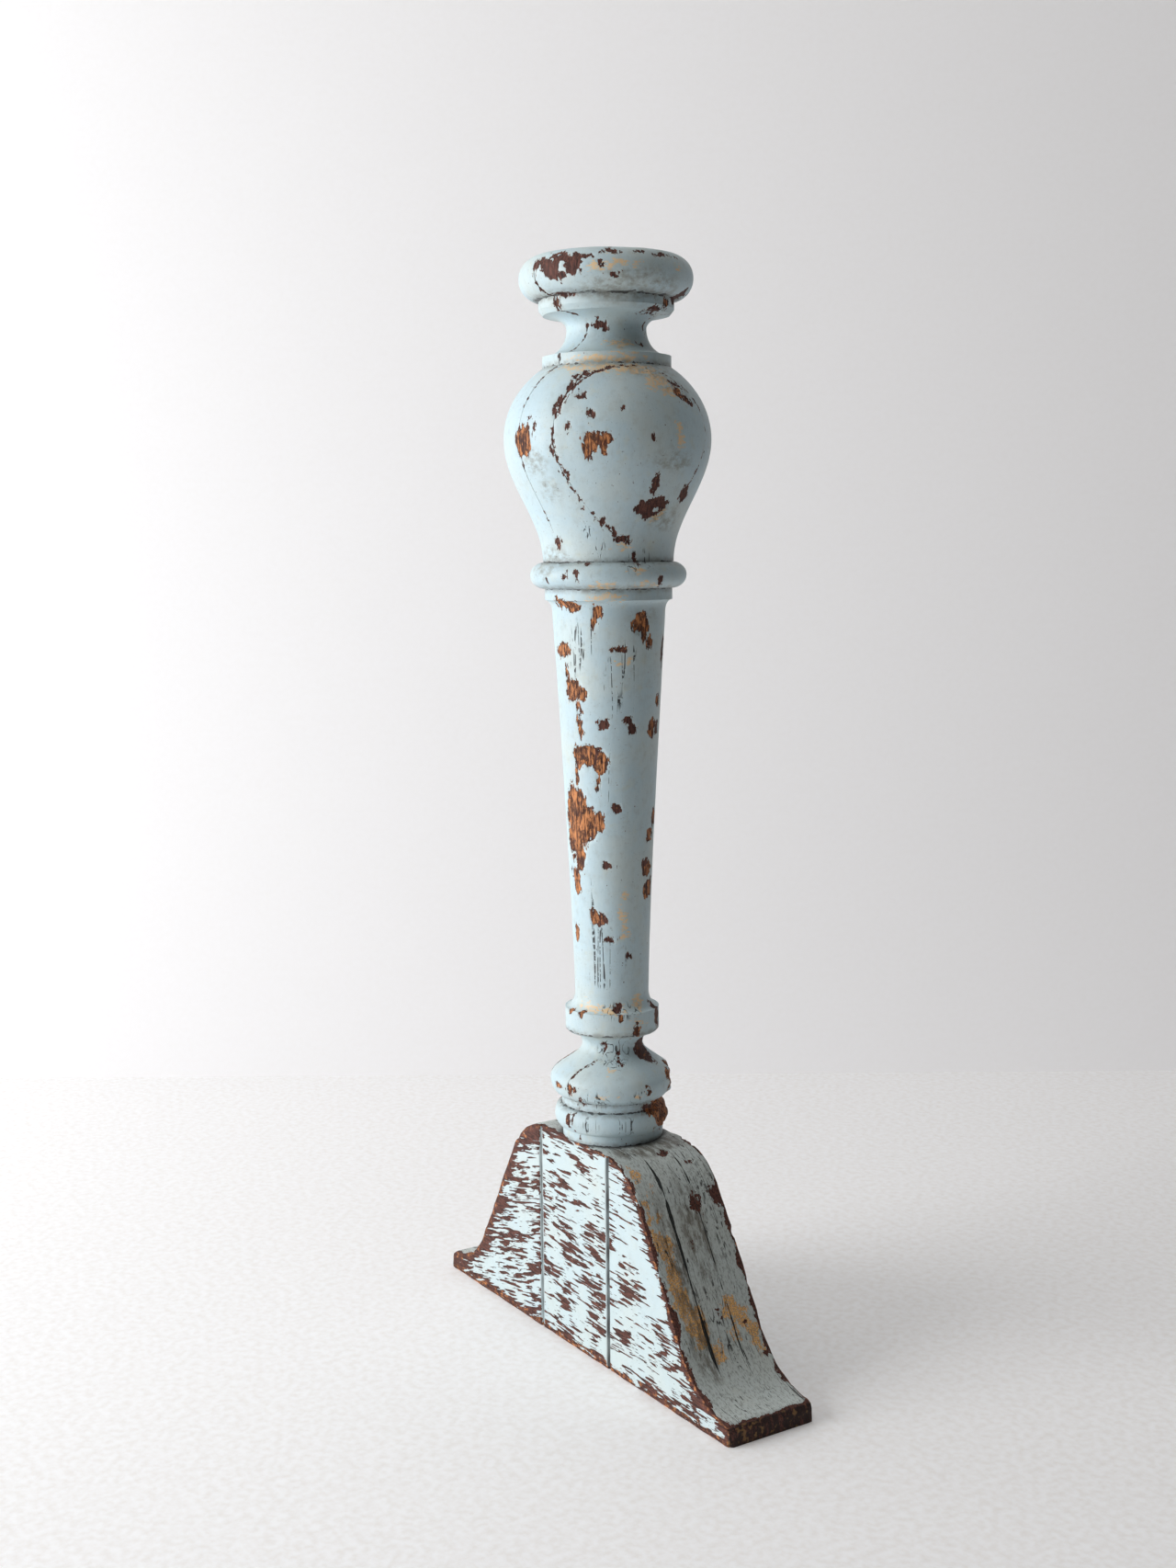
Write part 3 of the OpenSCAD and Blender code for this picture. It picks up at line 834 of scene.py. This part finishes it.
def grime_and_shade(points, at, near_line, on_face):
    """Dirt in the joints, dirt and painted shadow around the post's foot, and painted shade in the grooves.
    """
    in_joint = (near_line < 0.1) * smooth_step(0.3, 1.5, at.shell)
    dirt_and_shadow_reach = 30 + 4 * cloud(points, 6, 38)
    # Dirt and painted shadow round the post's foot, reaching further out here and there.
    under_foot = (1 - smooth_step(26, dirt_and_shadow_reach, np.hypot(at.x, at.y))) * at.on_top
    # Painted shade down the V grooves.
    in_grooves = (0.85 + 0.4 * cloud(points, (4, 30, 9), 36)) * (at.groove <= GROOVE_HALF) * on_face
    return np.clip(np.maximum.reduce([in_joint, under_foot, in_grooves]), 0, 1)


def write_grain(mesh, points, at):
    """Coordinates that follow the grain. It leans on the left wing, and waves a little everywhere."""
    lean = np.where(at.x < -GROOVE_X, 0.24, 0.0)
    along = at.x + 2.5 * cloud(points, 30, 30)
    over = at.z - lean * (at.x + GROOVE_X) + 1.5 * cloud(points, (60, 60, 14), 31)
    grain = mesh.attributes.new("grain", "FLOAT_VECTOR", "POINT")
    grain.data.foreach_set("vector", np.stack([along, at.y, over], 1).astype(np.float32).ravel())


def wear_board(board, is_core):
    mesh = board.data
    points = read_points(mesh) / MM
    at = measure_board(points)
    wear_corners(points, at)
    wander = cloud(points, 6, 24)
    chips = slope_distance(at.x + 1.5 * wander, at.y + 1.2 * cloud(points, 6, 25), SLOPE_FLAKES)
    tan = slope_distance(at.x + 3 * wander, at.y + 3 * cloud(points, 5, 26), TAN_PATCHES)
    tan = tan - 3 * smooth_step(0.1, 0.4, cloud(points, 7, 37))
    points += at.inward * (at.on_top * smooth_step(-0.3, 1.0, chips) * CHIP_DEPTH)[:, None]
    near_line, opened = open_glue_lines(points, at, is_core)
    uneven = np.minimum(0.12 * cloud(points, (30, 12, 8), 28), 0.05)
    points[:, 1] += at.outward * (at.face < 0.1) * uneven
    write_points(mesh, points * MM)

    on_face = 1 - smooth_step(0.2, 0.9, at.face)
    edge = edge_flakes(points, at)
    stain = slope_distance(at.x + 4 * wander, at.y, STAINS)
    # On the sloping top the bare wood leans further to dark varnish: dark chips there, and painted shade on
    # the slope's side of the arris.
    write_mask(mesh, "look", 0.25 * on_face - 0.1 + 0.45 * rubbed_edges(at, on_face))
    write_mask(mesh, "at_end", at.end < 0.6)
    write_mask(mesh, "flake", streak_level(points, at, on_face))
    write_mask(mesh, "bare", np.where(at.on_top > 0.5, np.maximum(chips, edge - 0.6), edge - 0.9))
    write_mask(mesh, "tan", np.where(at.on_top > 0.5, tan, -FAR))
    write_mask(mesh, "near_joint", near_line)
    write_mask(mesh, "opened", opened * (1 - smooth_step(0, 9, at.shell)))
    write_mask(mesh, "grime_and_shade", grime_and_shade(points, at, near_line, on_face))
    write_mask(mesh, "on_top", at.on_top * (at.face > 0.05))
    write_mask(mesh, "stain", at.on_top * smooth_step(-1.5, 3, stain))
    write_grain(mesh, points, at)


for board in boards:
    wear_board(board, is_core=board.name == "base_centre")
    only(board)
    bpy.ops.object.shade_smooth_by_angle(angle=SMOOTH_ANGLE)
    pieces[f"{board.name}_board"] = board
    print(board.name, len(board.data.polygons), "faces")

# %% [markdown]
# ## Helpers for materials
#
# A material is a small network of nodes. `put` adds one node, sets its values and joins its inputs in one
# call. What it gives back is a `Wire`, which can be added, subtracted and multiplied as if it were a
# number: each sum adds a Math node. A node group is a network with named inputs and outputs, which both
# materials use.

# %% Node helpers


class Wire:
    """An output of a node. A sum with it adds a Math node to its tree."""

    def __init__(self, tree, socket):
        self.tree = tree
        self.socket = socket

    def __add__(self, other):
        return maths("ADD", self, other)

    def __sub__(self, other):
        return maths("SUBTRACT", self, other)

    def __rsub__(self, other):
        return maths("SUBTRACT", other, self)

    def __mul__(self, other):
        return maths("MULTIPLY", self, other)


def tree_of(*values):
    """The tree that holds the first wire among the values."""
    return next(value.tree for value in values if isinstance(value, Wire))


def join(wire, socket):
    wire.tree.links.new(wire.socket, socket)


def add_node(tree, kind, sockets, **settings):
    """Adds a node. sockets gives an input either a value or a wire."""
    made = tree.nodes.new(kind)
    for setting, value in settings.items():
        setattr(made, setting, value)
    for socket, value in sockets.items():
        if isinstance(value, Wire):
            join(value, made.inputs[socket])
        else:
            made.inputs[socket].default_value = value
    return made


def put(tree, kind, sockets=None, take=0, **settings):
    """Adds a node and gives one of its outputs."""
    return Wire(tree, add_node(tree, kind, sockets or {}, **settings).outputs[take])


def maths(operation, first, second=0.0):
    return put(tree_of(first, second), "ShaderNodeMath", {0: first, 1: second}, operation=operation)


def ramp(value, low, high, to_low=0.0, to_high=1.0):
    """Carries a value smoothly from to_low to to_high while it goes from low to high."""
    ends = {"From Min": low, "From Max": high, "To Min": to_low, "To Max": to_high}
    return put(value.tree, "ShaderNodeMapRange", {"Value": value, **ends}, take="Result",
               interpolation_type="SMOOTHSTEP")


def mix_colour(share, first, second):
    """Lays a share of the second colour over the first. A Mix node's colours are sockets 6, 7 and 2."""
    return put(tree_of(share, first, second), "ShaderNodeMix", {0: share, 6: first, 7: second}, take=2,
               data_type="RGBA")


def stretched(place, by):
    return put(place.tree, "ShaderNodeVectorMath", {0: place, 1: by}, operation="MULTIPLY")


def texture(place, scale, detail=3.0, roughness=0.55, stretch=(1, 1, 1), move=(0, 0, 0)):
    """Noise on coordinates in mm. scale is in features for each mm."""
    moved = put(place.tree, "ShaderNodeMapping", {"Vector": place, "Scale": stretch, "Location": move})
    return put(place.tree, "ShaderNodeTexNoise",
               {"Vector": moved, "Scale": scale, "Detail": detail, "Roughness": roughness}, take="Fac")


def wires(tree, node):
    return {output.name: Wire(tree, output) for output in node.outputs}


def new_group(name, inputs, outputs):
    """An empty node group. inputs and outputs give each socket's name and kind."""
    tree = bpy.data.node_groups.new(name, "ShaderNodeTree")
    for in_out, sockets in (("INPUT", inputs), ("OUTPUT", outputs)):
        for socket, kind in sockets.items():
            tree.interface.new_socket(socket, in_out=in_out, socket_type=kind)
    return tree, wires(tree, tree.nodes.new("NodeGroupInput")), tree.nodes.new("NodeGroupOutput").inputs


def use_group(group, **sockets):
    tree = tree_of(*sockets.values())
    return wires(tree, add_node(tree, "ShaderNodeGroup", sockets, node_tree=group))


def colour(red, green, blue):
    """A colour as a screen shows it, from 0 to 255, in the linear values that a shader takes."""
    return tuple((value / 255) ** 2.2 for value in (red, green, blue)) + (1.0,)


FLOAT = "NodeSocketFloat"
VECTOR = "NodeSocketVector"
COLOUR = "NodeSocketColor"
print("middle grey in a shader:", [round(value, 3) for value in colour(128, 128, 128)])

# %% [markdown]
# ## The edge of a flake
#
# The mesh knows a flake only as a smooth distance. Here it gets its broken edge: noise that is stretched
# along the grain makes teeth, Voronoi cells that come away whole make straight-sided shards, and finer
# noise makes crumbs. Paint has a thickness, so the group also gives a narrow rim just outside the flake,
# where the coat is lifted and its lower layers show, and its heart, well inside the edge.

# %% Group: flake edge


def flake_edge_group():
    tree, given, result = new_group(
        "flake edge",
        {"Place": VECTOR, "Inside": FLOAT, "Stretch": VECTOR, "Teeth": FLOAT, "Shards": FLOAT},
        {"Mask": FLOAT, "Rim": FLOAT, "Heart": FLOAT})
    with_grain = stretched(given["Place"], given["Stretch"])
    teeth = texture(with_grain, 1.0, detail=2.0)
    shards = put(tree, "ShaderNodeTexVoronoi", {"Vector": with_grain, "Scale": 0.8}, take="Color")
    crumbs = texture(given["Place"], 1.7, detail=2.0)
    depth = given["Inside"] + (teeth - 0.5) * given["Teeth"] + (shards - 0.5) * given["Shards"]
    depth = depth + (crumbs - 0.5)
    join(ramp(depth, -0.06, 0.06), result["Mask"])
    join(ramp(depth, -0.5, -0.05), result["Rim"])
    join(ramp(depth, 0.1, 1.1), result["Heart"])
    return tree


flake_edge = flake_edge_group()
print("nodes in the group:", len(flake_edge.nodes))

# %% [markdown]
# ## Two coats of paint
#
# The blue was brushed on by hand, so it is thinner here and there, a little greener or creamier, and
# freckled with dirt. The group mixes those over one another and gives a height for the brush marks.

# %% Group: brushed paint
DUCK_EGG = colour(175, 198, 207)
DUCK_EGG_GREEN = colour(184, 198, 198)
CREAMY = colour(186, 190, 174)
BRUSHED_THIN = colour(202, 214, 217)
FRECKLE = colour(84, 82, 74)
DUSTY_FILM = colour(128, 124, 108)


def paint_group():
    tree, given, result = new_group("brushed paint", {"Place": VECTOR, "Stretch": VECTOR, "Dirt": FLOAT},
                                    {"Colour": COLOUR, "Height": FLOAT, "Roughness": FLOAT})
    place = given["Place"]
    broad = texture(place, 0.035, detail=4.0)
    brush = texture(stretched(place, given["Stretch"]), 1.6, detail=4.0, roughness=0.65)
    blotch = texture(place, 0.12, detail=5.0, roughness=0.6, move=(40, 10, 0))
    tint = mix_colour(ramp(broad, 0.35, 0.7), DUCK_EGG, DUCK_EGG_GREEN)
    tint = mix_colour(ramp(blotch, 0.56, 0.74, 0, 0.45), tint, CREAMY)
    tint = mix_colour(ramp(brush, 0.3, 0.75, 0, 0.3), tint, BRUSHED_THIN)
    freckles = ramp(texture(place, 1.1, detail=2.0, move=(0, 0, 90)), 0.66, 0.74)
    tint = mix_colour(freckles * given["Dirt"], tint, FRECKLE)
    film = ramp(texture(place, 0.25, detail=4.0, roughness=0.6, move=(5, 70, 0)), 0.48, 0.75)
    tint = mix_colour(film * given["Dirt"] * 0.5, tint, DUSTY_FILM)
    join(tint, result["Colour"])
    join(brush * 0.12 + blotch * 0.25, result["Height"])
    join(ramp(blotch, 0.3, 0.75, 0.42, 0.62), result["Roughness"])
    return tree


paint = paint_group()
print("nodes in the group:", len(paint.nodes))

# %% [markdown]
# ## What lies under the paint
#
# Under the blue is the old dark varnish, nearly plum, and where that has gone too there is orange-brown
# wood with open grain. `Look` runs from the varnish at 0 to the wood at 1.

# %% Group: bare wood
WOOD_DARK = colour(76, 38, 20)
WOOD_ORANGE = colour(196, 128, 78)
WOOD_PIT = colour(54, 25, 14)
VARNISH_DARK = colour(44, 22, 18)
VARNISH_LIGHT = colour(110, 66, 54)
VARNISH_RUBBED = colour(150, 112, 96)


def wood_group():
    tree, given, result = new_group("bare wood",
                                    {"Place": VECTOR, "Stretch": VECTOR, "Look": FLOAT, "Heart": FLOAT},
                                    {"Colour": COLOUR, "Height": FLOAT})
    place = given["Place"]
    fibre = texture(stretched(place, given["Stretch"]), 1.15, detail=5.0, roughness=0.6)
    patch = texture(place, 0.32, detail=3.0, move=(20, 0, 30))
    pits = texture(place, 0.36, detail=4.0, roughness=0.65, stretch=(1, 1, 0.6), move=(0, 90, 0))
    pits = ramp(pits, 0.49, 0.59)
    fresh = mix_colour(ramp(fibre, 0.4, 0.6), WOOD_DARK, WOOD_ORANGE)
    fresh = mix_colour(pits * 0.85, fresh, WOOD_PIT)
    varnish = mix_colour(ramp(fibre, 0.3, 0.75), VARNISH_DARK, VARNISH_LIGHT)
    varnish = mix_colour(ramp(fibre, 0.66, 0.8) * 0.3, varnish, VARNISH_RUBBED)
    # Near a flake's edge, where Heart is low, the wood leans to dark varnish: older varnish there, and
    # painted shadow of the paint's edge.
    share = given["Look"] + (patch - 0.5) * 2.2 - 0.45 + given["Heart"] * 0.6
    join(mix_colour(ramp(share, 0.35, 0.75), varnish, fresh), result["Colour"])
    join(fibre * 1.2 - pits * 0.6, result["Height"])
    return tree


wood = wood_group()
print("nodes in the group:", len(wood.nodes))

# %% [markdown]
# ## The post's material
#
# From the bottom up: wood, cream undercoat, blue, then dusty grey and painted shade in the creases. Fine
# black checks run up the grain and are broken into dots, as they are where paint bridges a crack.

# %% Material: painted post
GRAIN_UP = (1.0, 1.0, 0.14)      # noise on this is stretched along Z
GRAIN_ALONG = (0.16, 1.0, 1.0)   # and on this along X
PAINT_STEP = 0.3                 # one unit of height in the materials, in mm
PAINT_RISE = 1.6                 # the paint stands this many units above the wood
UNDERCOAT = colour(228, 194, 146)
LIFTED_RIM = colour(205, 190, 165)
SMEAR = colour(112, 100, 80)
SCRATCH = colour(58, 48, 42)
CREASE_DUST_AND_SHADE = colour(104, 98, 88)
CREASE_SHADE_LINE = colour(50, 42, 38)
CHECK_LINE = colour(30, 26, 26)


def start_material(name):
    """A new material with its shader, and the object's own coordinates in mm."""
    material = bpy.data.materials.new(name)
    material.use_nodes = True
    tree = material.node_tree
    place = put(tree, "ShaderNodeTexCoord", take="Object")
    place = put(tree, "ShaderNodeMapping", {"Vector": place, "Scale": (1 / MM,) * 3})
    return material, tree.nodes["Principled BSDF"], place


def read_mask(place, name):
    return put(place.tree, "ShaderNodeAttribute", take="Fac", attribute_name=name)


def cover(shader, bare, above, below, roughness, cut=0.0):
    """Joins the paint and what is under it to the shader, with a step at the paint's edge. above and below
    are pairs of a colour and a height."""
    join(mix_colour(bare, above[0], below[0]), shader.inputs["Base Color"])
    join(ramp(bare, 0, 1, *roughness), shader.inputs["Roughness"])
    height = (above[1] + PAINT_RISE) * (1.0 - bare) + below[1] * bare - cut
    bump = put(bare.tree, "ShaderNodeBump", {"Height": height, "Strength": 0.8, "Distance": PAINT_STEP * MM})
    join(bump, shader.inputs["Normal"])


def checks(place, stretch, width):
    """Thin dark lines along the grain, broken into dots."""
    lines = texture(place, 0.3, detail=1.0, stretch=stretch, move=(11, 3, 0))
    lines = ramp(maths("ABSOLUTE", lines - 0.5), width, 0.0)
    return lines * ramp(texture(place, 0.42, detail=3.0, move=(0, 60, 0)), 0.42, 0.5)


def show_cream(place, top, flakes):
    """The undercoat where the blue is rubbed through, and a pale rim round each flake."""
    cream = use_group(flake_edge, Place=place, Inside=read_mask(place, "cream"), Stretch=(0.3, 0.3, 0.9),
                      Teeth=8.0, Shards=2.0)
    rubbed = texture(place, 0.7, detail=5.0, roughness=0.7, move=(3, 0, 8))
    top = mix_colour(cream["Mask"] * ramp(rubbed, 0.42, 0.52, 0.15, 0.9), top, UNDERCOAT)
    return mix_colour((flakes["Rim"] - flakes["Mask"]) * 0.25, top, LIFTED_RIM)


def smear(place, top):
    """Brown dirt and short scratches."""
    smudge = read_mask(place, "smudge")
    smears = texture(place, 0.3, detail=5.0, roughness=0.65, stretch=(0.8, 0.8, 1.2))
    top = mix_colour(smudge * ramp(smears, 0.38, 0.7, 0, 0.6), top, SMEAR)
    scratches = texture(place, 1.1, detail=3.0, stretch=(0.3, 0.3, 1.5), move=(0, 4, 2))
    return mix_colour(smudge * ramp(scratches, 0.66, 0.72, 0, 0.8), top, SCRATCH)


def shade_and_soil_creases(place, top):
    """Dusty grey and painted shade near the creases of the turning, and a dark line of painted shade in each.
    """
    crease = read_mask(place, "crease")
    crease_breakup = texture(place, 0.3, detail=4.0, move=(0, 20, 50))
    # Painted shade: near each crease the paint is drawn darker and greyer, and a dark line of painted shade
    # runs in the crease itself.
    dust_and_shade = ramp(crease, 3.0, 0.2) * ramp(crease_breakup, 0.35, 0.65, 0.1, 0.55)
    top = mix_colour(dust_and_shade, top, CREASE_DUST_AND_SHADE)
    return mix_colour(ramp(crease + (crease_breakup - 0.45) * 4.0, 0.5, 0.2, 0, 0.85), top, CREASE_SHADE_LINE)


def post_material():
    material, shader, place = start_material("duck egg paint on the post")
    coat = use_group(paint, Place=place, Stretch=GRAIN_UP, Dirt=0.35)
    flakes = use_group(flake_edge, Place=place, Inside=read_mask(place, "bare"), Stretch=(0.8, 0.8, 0.34),
                       Teeth=3.0, Shards=2.0)
    under = use_group(wood, Place=place, Stretch=GRAIN_UP, Look=read_mask(place, "look"),
                      Heart=flakes["Heart"])
    chips = texture(place, 0.85, detail=2.0, stretch=(1, 1, 0.45), move=(0, 0, 33))
    chips = chips + texture(place, 0.05, detail=2.0, move=(70, 0, 0)) * 0.16
    bare = maths("MAXIMUM", flakes["Mask"], ramp(chips, 0.835, 0.845))
    lines = checks(place, (1, 1, 0.022), 0.035) * read_mask(place, "checked")
    top = shade_and_soil_creases(place, smear(place, show_cream(place, coat["Colour"], flakes)))
    top = mix_colour(lines, top, CHECK_LINE)
    cover(shader, bare, (top, coat["Height"]), (under["Colour"], under["Height"]), (0.5, 0.75), lines * 1.5)
    return material


painted_post = post_material()
print("made", painted_post.name, "with", len(painted_post.node_tree.nodes), "nodes")

# %% [markdown]
# ## The base's material
#
# The front of the base is a different story: there the grain runs along the board, and the paint holds
# only between its ridges, so hundreds of short dark streaks show. They are noise, stretched along the
# grain, cut off at a level that the mask `flake` raises or lowers from place to place. The sloping top
# is end grain, painted grey as shade, speckled and stained, with ochre paint rubbed bare.

# %% Material: painted base
FRONT_PAINT = colour(200, 211, 210)
SLOPE_SHADE_GREY = colour(178, 182, 176)
SLOPE_SPECK = colour(76, 71, 63)
OCHRE_DARK = colour(132, 88, 46)
OCHRE_LIGHT = colour(224, 176, 116)
STAIN = colour(78, 66, 50)
SLOPE_CRACK = colour(36, 32, 30)
GRIME_AND_SHADE = colour(34, 28, 26)
GAP_SHADE = colour(24, 19, 17)
SOILED_END = colour(34, 18, 14)
OCHRE_SPOT = colour(146, 112, 70)


def base_streaks(place):
    """Short dark streaks on the faces: broad ones in groups, and fine ones between."""
    grain = put(place.tree, "ShaderNodeAttribute", take="Vector", attribute_name="grain")
    groups = texture(grain, 0.11, detail=2.0, stretch=(0.5, 1, 1), move=(9, 0, 4))
    groups = (groups - 0.5) * 0.56
    flake = read_mask(place, "flake")
    broad = texture(grain, 0.62, detail=1.6, roughness=0.5, stretch=(0.13, 1, 1)) + groups + flake
    fine = texture(grain, 1.5, detail=2.0, stretch=(0.12, 1, 1), move=(0, 5, 0)) + groups + flake
    return maths("MAXIMUM", ramp(broad, 0.552, 0.566), ramp(fine, 0.64, 0.66))


def shade_and_weather_slope(place, top, on_top):
    """The sloping top: painted grey as shade, speckled, and rubbed to ochre in patches."""
    speckle = texture(place, 1.3, detail=5.0, roughness=0.75, stretch=(0.35, 1, 0.35), move=(7, 7, 0))
    speckle = ramp(speckle, 0.47, 0.67) * on_top
    # Painted shade: the whole sloping top is tinted grey, as it faces away from the light.
    top = mix_colour(on_top * 0.65, top, SLOPE_SHADE_GREY)
    top = mix_colour(speckle * 0.7, top, SLOPE_SPECK)
    tan = use_group(flake_edge, Place=place, Inside=read_mask(place, "tan"), Stretch=(0.35, 0.9, 0.35),
                    Teeth=8.0, Shards=1.5)
    grains = texture(place, 1.3, detail=3.0, move=(0, 0, 12))
    ochre = mix_colour(ramp(grains, 0.38, 0.6), OCHRE_DARK, OCHRE_LIGHT)
    return mix_colour(tan["Mask"] * ramp(grains, 0.37, 0.47), top, ochre)


def soil_and_shade_base(place, top, on_top, smears):
    """Stains, cracks, dirt with painted shade, and painted shade in the opened glue lines."""
    stain = read_mask(place, "stain") * ramp(smears, 0.38, 0.6, 0.0, 0.72)
    top = mix_colour(stain, top, STAIN)
    somewhere = ramp(texture(place, 0.05, detail=1.0, move=(8, 8, 8)), 0.43, 0.55)
    top = mix_colour(checks(place, (0.12, 1, 0.12), 0.03) * on_top * somewhere, top, SLOPE_CRACK)
    # Dirt in the joints, and painted shade and shadow in the grooves and round the post's foot.
    top = mix_colour(read_mask(place, "grime_and_shade") * 0.9, top, GRIME_AND_SHADE)
    # Painted shade: where a glue line has opened, the top is painted nearly black along it.
    gap = read_mask(place, "near_joint") - read_mask(place, "opened") + (smears * 1.6 - 0.7)
    return mix_colour(ramp(gap, 0.12, -0.12) * on_top, top, GAP_SHADE)


def end_grain(place, sound, smears):
    """The bare wood at the ends of the toes is soiled, with spots of ochre."""
    at_end = read_mask(place, "at_end")
    soiled = at_end * ramp(smears, 0.6, 0.5)
    shown = mix_colour(soiled * 0.85, sound, SOILED_END)
    spots = ramp(texture(place, 0.3, detail=4.0, move=(60, 0, 0)), 0.56, 0.64, 0.0, 0.6)
    return mix_colour(spots * at_end, shown, OCHRE_SPOT)


def base_material():
    material, shader, place = start_material("duck egg paint on the base")
    coat = use_group(paint, Place=place, Stretch=GRAIN_ALONG, Dirt=0.3)
    under = use_group(wood, Place=place, Stretch=GRAIN_ALONG, Look=read_mask(place, "look"), Heart=0.55)
    flakes = use_group(flake_edge, Place=place, Inside=read_mask(place, "bare"), Stretch=(0.25, 0.8, 0.8),
                       Teeth=3.0, Shards=1.6)
    bare = maths("MAXIMUM", flakes["Mask"], base_streaks(place))
    on_top = read_mask(place, "on_top")
    smears = texture(place, 0.25, detail=5.0, roughness=0.65, stretch=(0.5, 1.4, 0.5))
    top = mix_colour(0.4, coat["Colour"], FRONT_PAINT)
    top = soil_and_shade_base(place, shade_and_weather_slope(place, top, on_top), on_top, smears)
    shown = end_grain(place, under["Colour"], smears)
    cover(shader, bare, (top, coat["Height"]), (shown, under["Height"]), (0.55, 0.8))
    return material


painted_base = base_material()
print("made", painted_base.name, "with", len(painted_base.node_tree.nodes), "nodes")

# %% [markdown]
# ## The sawn faces in the joints
#
# Inside an open glue line there is only old wood, painted nearly black as shade in the crack.

# %% Material: inside the joints
JOINT_SHADE = colour(20, 14, 12)


def joint_material():
    material, shader, place = start_material("wood painted dark as shade in the joints")
    inside_wood = use_group(wood, Place=place, Stretch=GRAIN_UP, Look=0.1, Heart=0.0)
    # Painted shade: the wood is mixed three quarters of the way to near black.
    join(mix_colour(0.75, inside_wood["Colour"], JOINT_SHADE), shader.inputs["Base Color"])
    shader.inputs["Roughness"].default_value = 0.9
    bump = put(place.tree, "ShaderNodeBump", {"Height": inside_wood["Height"], "Distance": 0.2 * MM})
    join(bump, shader.inputs["Normal"])
    return material


joint_wood = joint_material()
for node, piece in pieces.items():
    on_base = node.startswith("base")
    piece.data.materials.clear()
    piece.data.materials.append(painted_base if on_base else painted_post)
    if not on_base:
        piece.data.materials.append(joint_wood)
    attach(piece, "root")
    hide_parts(node)
print("materials:", painted_post.name, "and", painted_base.name)

# %% [markdown]
# ## Floor, wall and light
#
# The room is bright and plain. One big soft light stands on the left, and a pale sky fills in the
# shadows. The floor and the wall behind are one plane each, and aren't part of the object. A camera that
# goes round to the back has to see through the wall, so the wall's material is clear on its back face.

# %% Stage and light
WALL_BEHIND = 490        # from the post's axis, away from the camera
STAGE_HALF = 1500
WINDOW_POWER = 30        # watts
CEILING_POWER = 14
WALL_GLOW = 0.13         # the far ends of the room's wall and floor aren't left dark
FLOOR_GLOW = 0.09
SKY_STRENGTH = 0.055
SKY_SEEN = 0.8           # how bright the empty room looks, without lighting anything
GRAIN_OF_FLOOR = colour(214, 208, 202)


def plain_material(name, tint, speck, glow):
    material, shader, place = start_material(name)
    grains = ramp(texture(place, 0.25, detail=4.0), 0.3, 0.8, 0, speck)
    join(mix_colour(grains, tint, GRAIN_OF_FLOOR), shader.inputs["Base Color"])
    shader.inputs["Roughness"].default_value = 0.8
    shader.inputs["Emission Color"].default_value = tint
    shader.inputs["Emission Strength"].default_value = glow
    return material


def clear_from_behind(material):
    tree = material.node_tree
    front = Wire(tree, tree.nodes["Principled BSDF"].outputs[0])
    behind = put(tree, "ShaderNodeNewGeometry", take="Backfacing")
    clear = put(tree, "ShaderNodeBsdfTransparent")
    either = put(tree, "ShaderNodeMixShader", {0: behind, 1: front, 2: clear})
    join(either, tree.nodes["Material Output"].inputs["Surface"])
    return material


def camera_frame(right_by, towards, height):
    """A place given as seen from the camera: to its right, towards it, and up."""
    side = math.radians(CAMERA_SIDE)
    to_camera = Vector((math.sin(side), -math.cos(side), 0))
    to_right = Vector((math.cos(side), math.sin(side), 0))
    return (to_right * right_by + to_camera * towards + Vector((0, 0, height))) * MM


def make_plane(name, material, **placing):
    bpy.ops.object.select_all(action="DESELECT")
    bpy.ops.mesh.primitive_plane_add(size=2 * STAGE_HALF * MM, **placing)
    plane = bpy.context.object
    plane.name = name
    plane.data.materials.append(material)
    return plane


def make_light(name, place, aim, size, power, tint):
    light = bpy.data.objects.new(name, bpy.data.lights.new(name, "AREA"))
    light.data.size = size * MM
    light.data.energy = power
    light.data.color = tint
    light.location = place
    light.rotation_euler = (aim - place).to_track_quat("-Z", "Y").to_euler()
    scene.collection.objects.link(light)


def make_sky():
    """A pale sky. What the camera sees of it is brighter than the light it gives."""
    world = bpy.data.worlds.new("sky")
    world.use_nodes = True
    tree = world.node_tree
    lighting = tree.nodes["Background"]
    lighting.inputs["Color"].default_value = (1.0, 0.97, 0.93, 1)
    lighting.inputs["Strength"].default_value = SKY_STRENGTH
    seen = put(tree, "ShaderNodeBackground", {"Color": colour(226, 226, 228), "Strength": SKY_SEEN})
    by_camera = put(tree, "ShaderNodeLightPath", take="Is Camera Ray")
    either = put(tree, "ShaderNodeMixShader", {0: by_camera, 1: Wire(tree, lighting.outputs[0]), 2: seen})
    join(either, tree.nodes["World Output"].inputs["Surface"])
    return world


floor = make_plane("floor", plain_material("pale floor", colour(238, 238, 239), 0.5, FLOOR_GLOW),
                   location=(0, 0, 0))
wall_paint = clear_from_behind(plain_material("pale wall", colour(229, 228, 229), 0.1, WALL_GLOW))
wall = make_plane("wall", wall_paint, location=camera_frame(0, -WALL_BEHIND, 0),
                  rotation=(math.pi / 2, 0, math.radians(CAMERA_SIDE)))
middle = camera_frame(0, 0, 300)
make_light("window", camera_frame(-1500, 450, 620), middle, 1200, WINDOW_POWER, (0.98, 0.99, 1.0))
make_light("ceiling", camera_frame(-300, 300, 2000), middle, 2000, CEILING_POWER, (1.0, 0.98, 0.95))
scene.world = make_sky()
scene.view_settings.view_transform = "Standard"
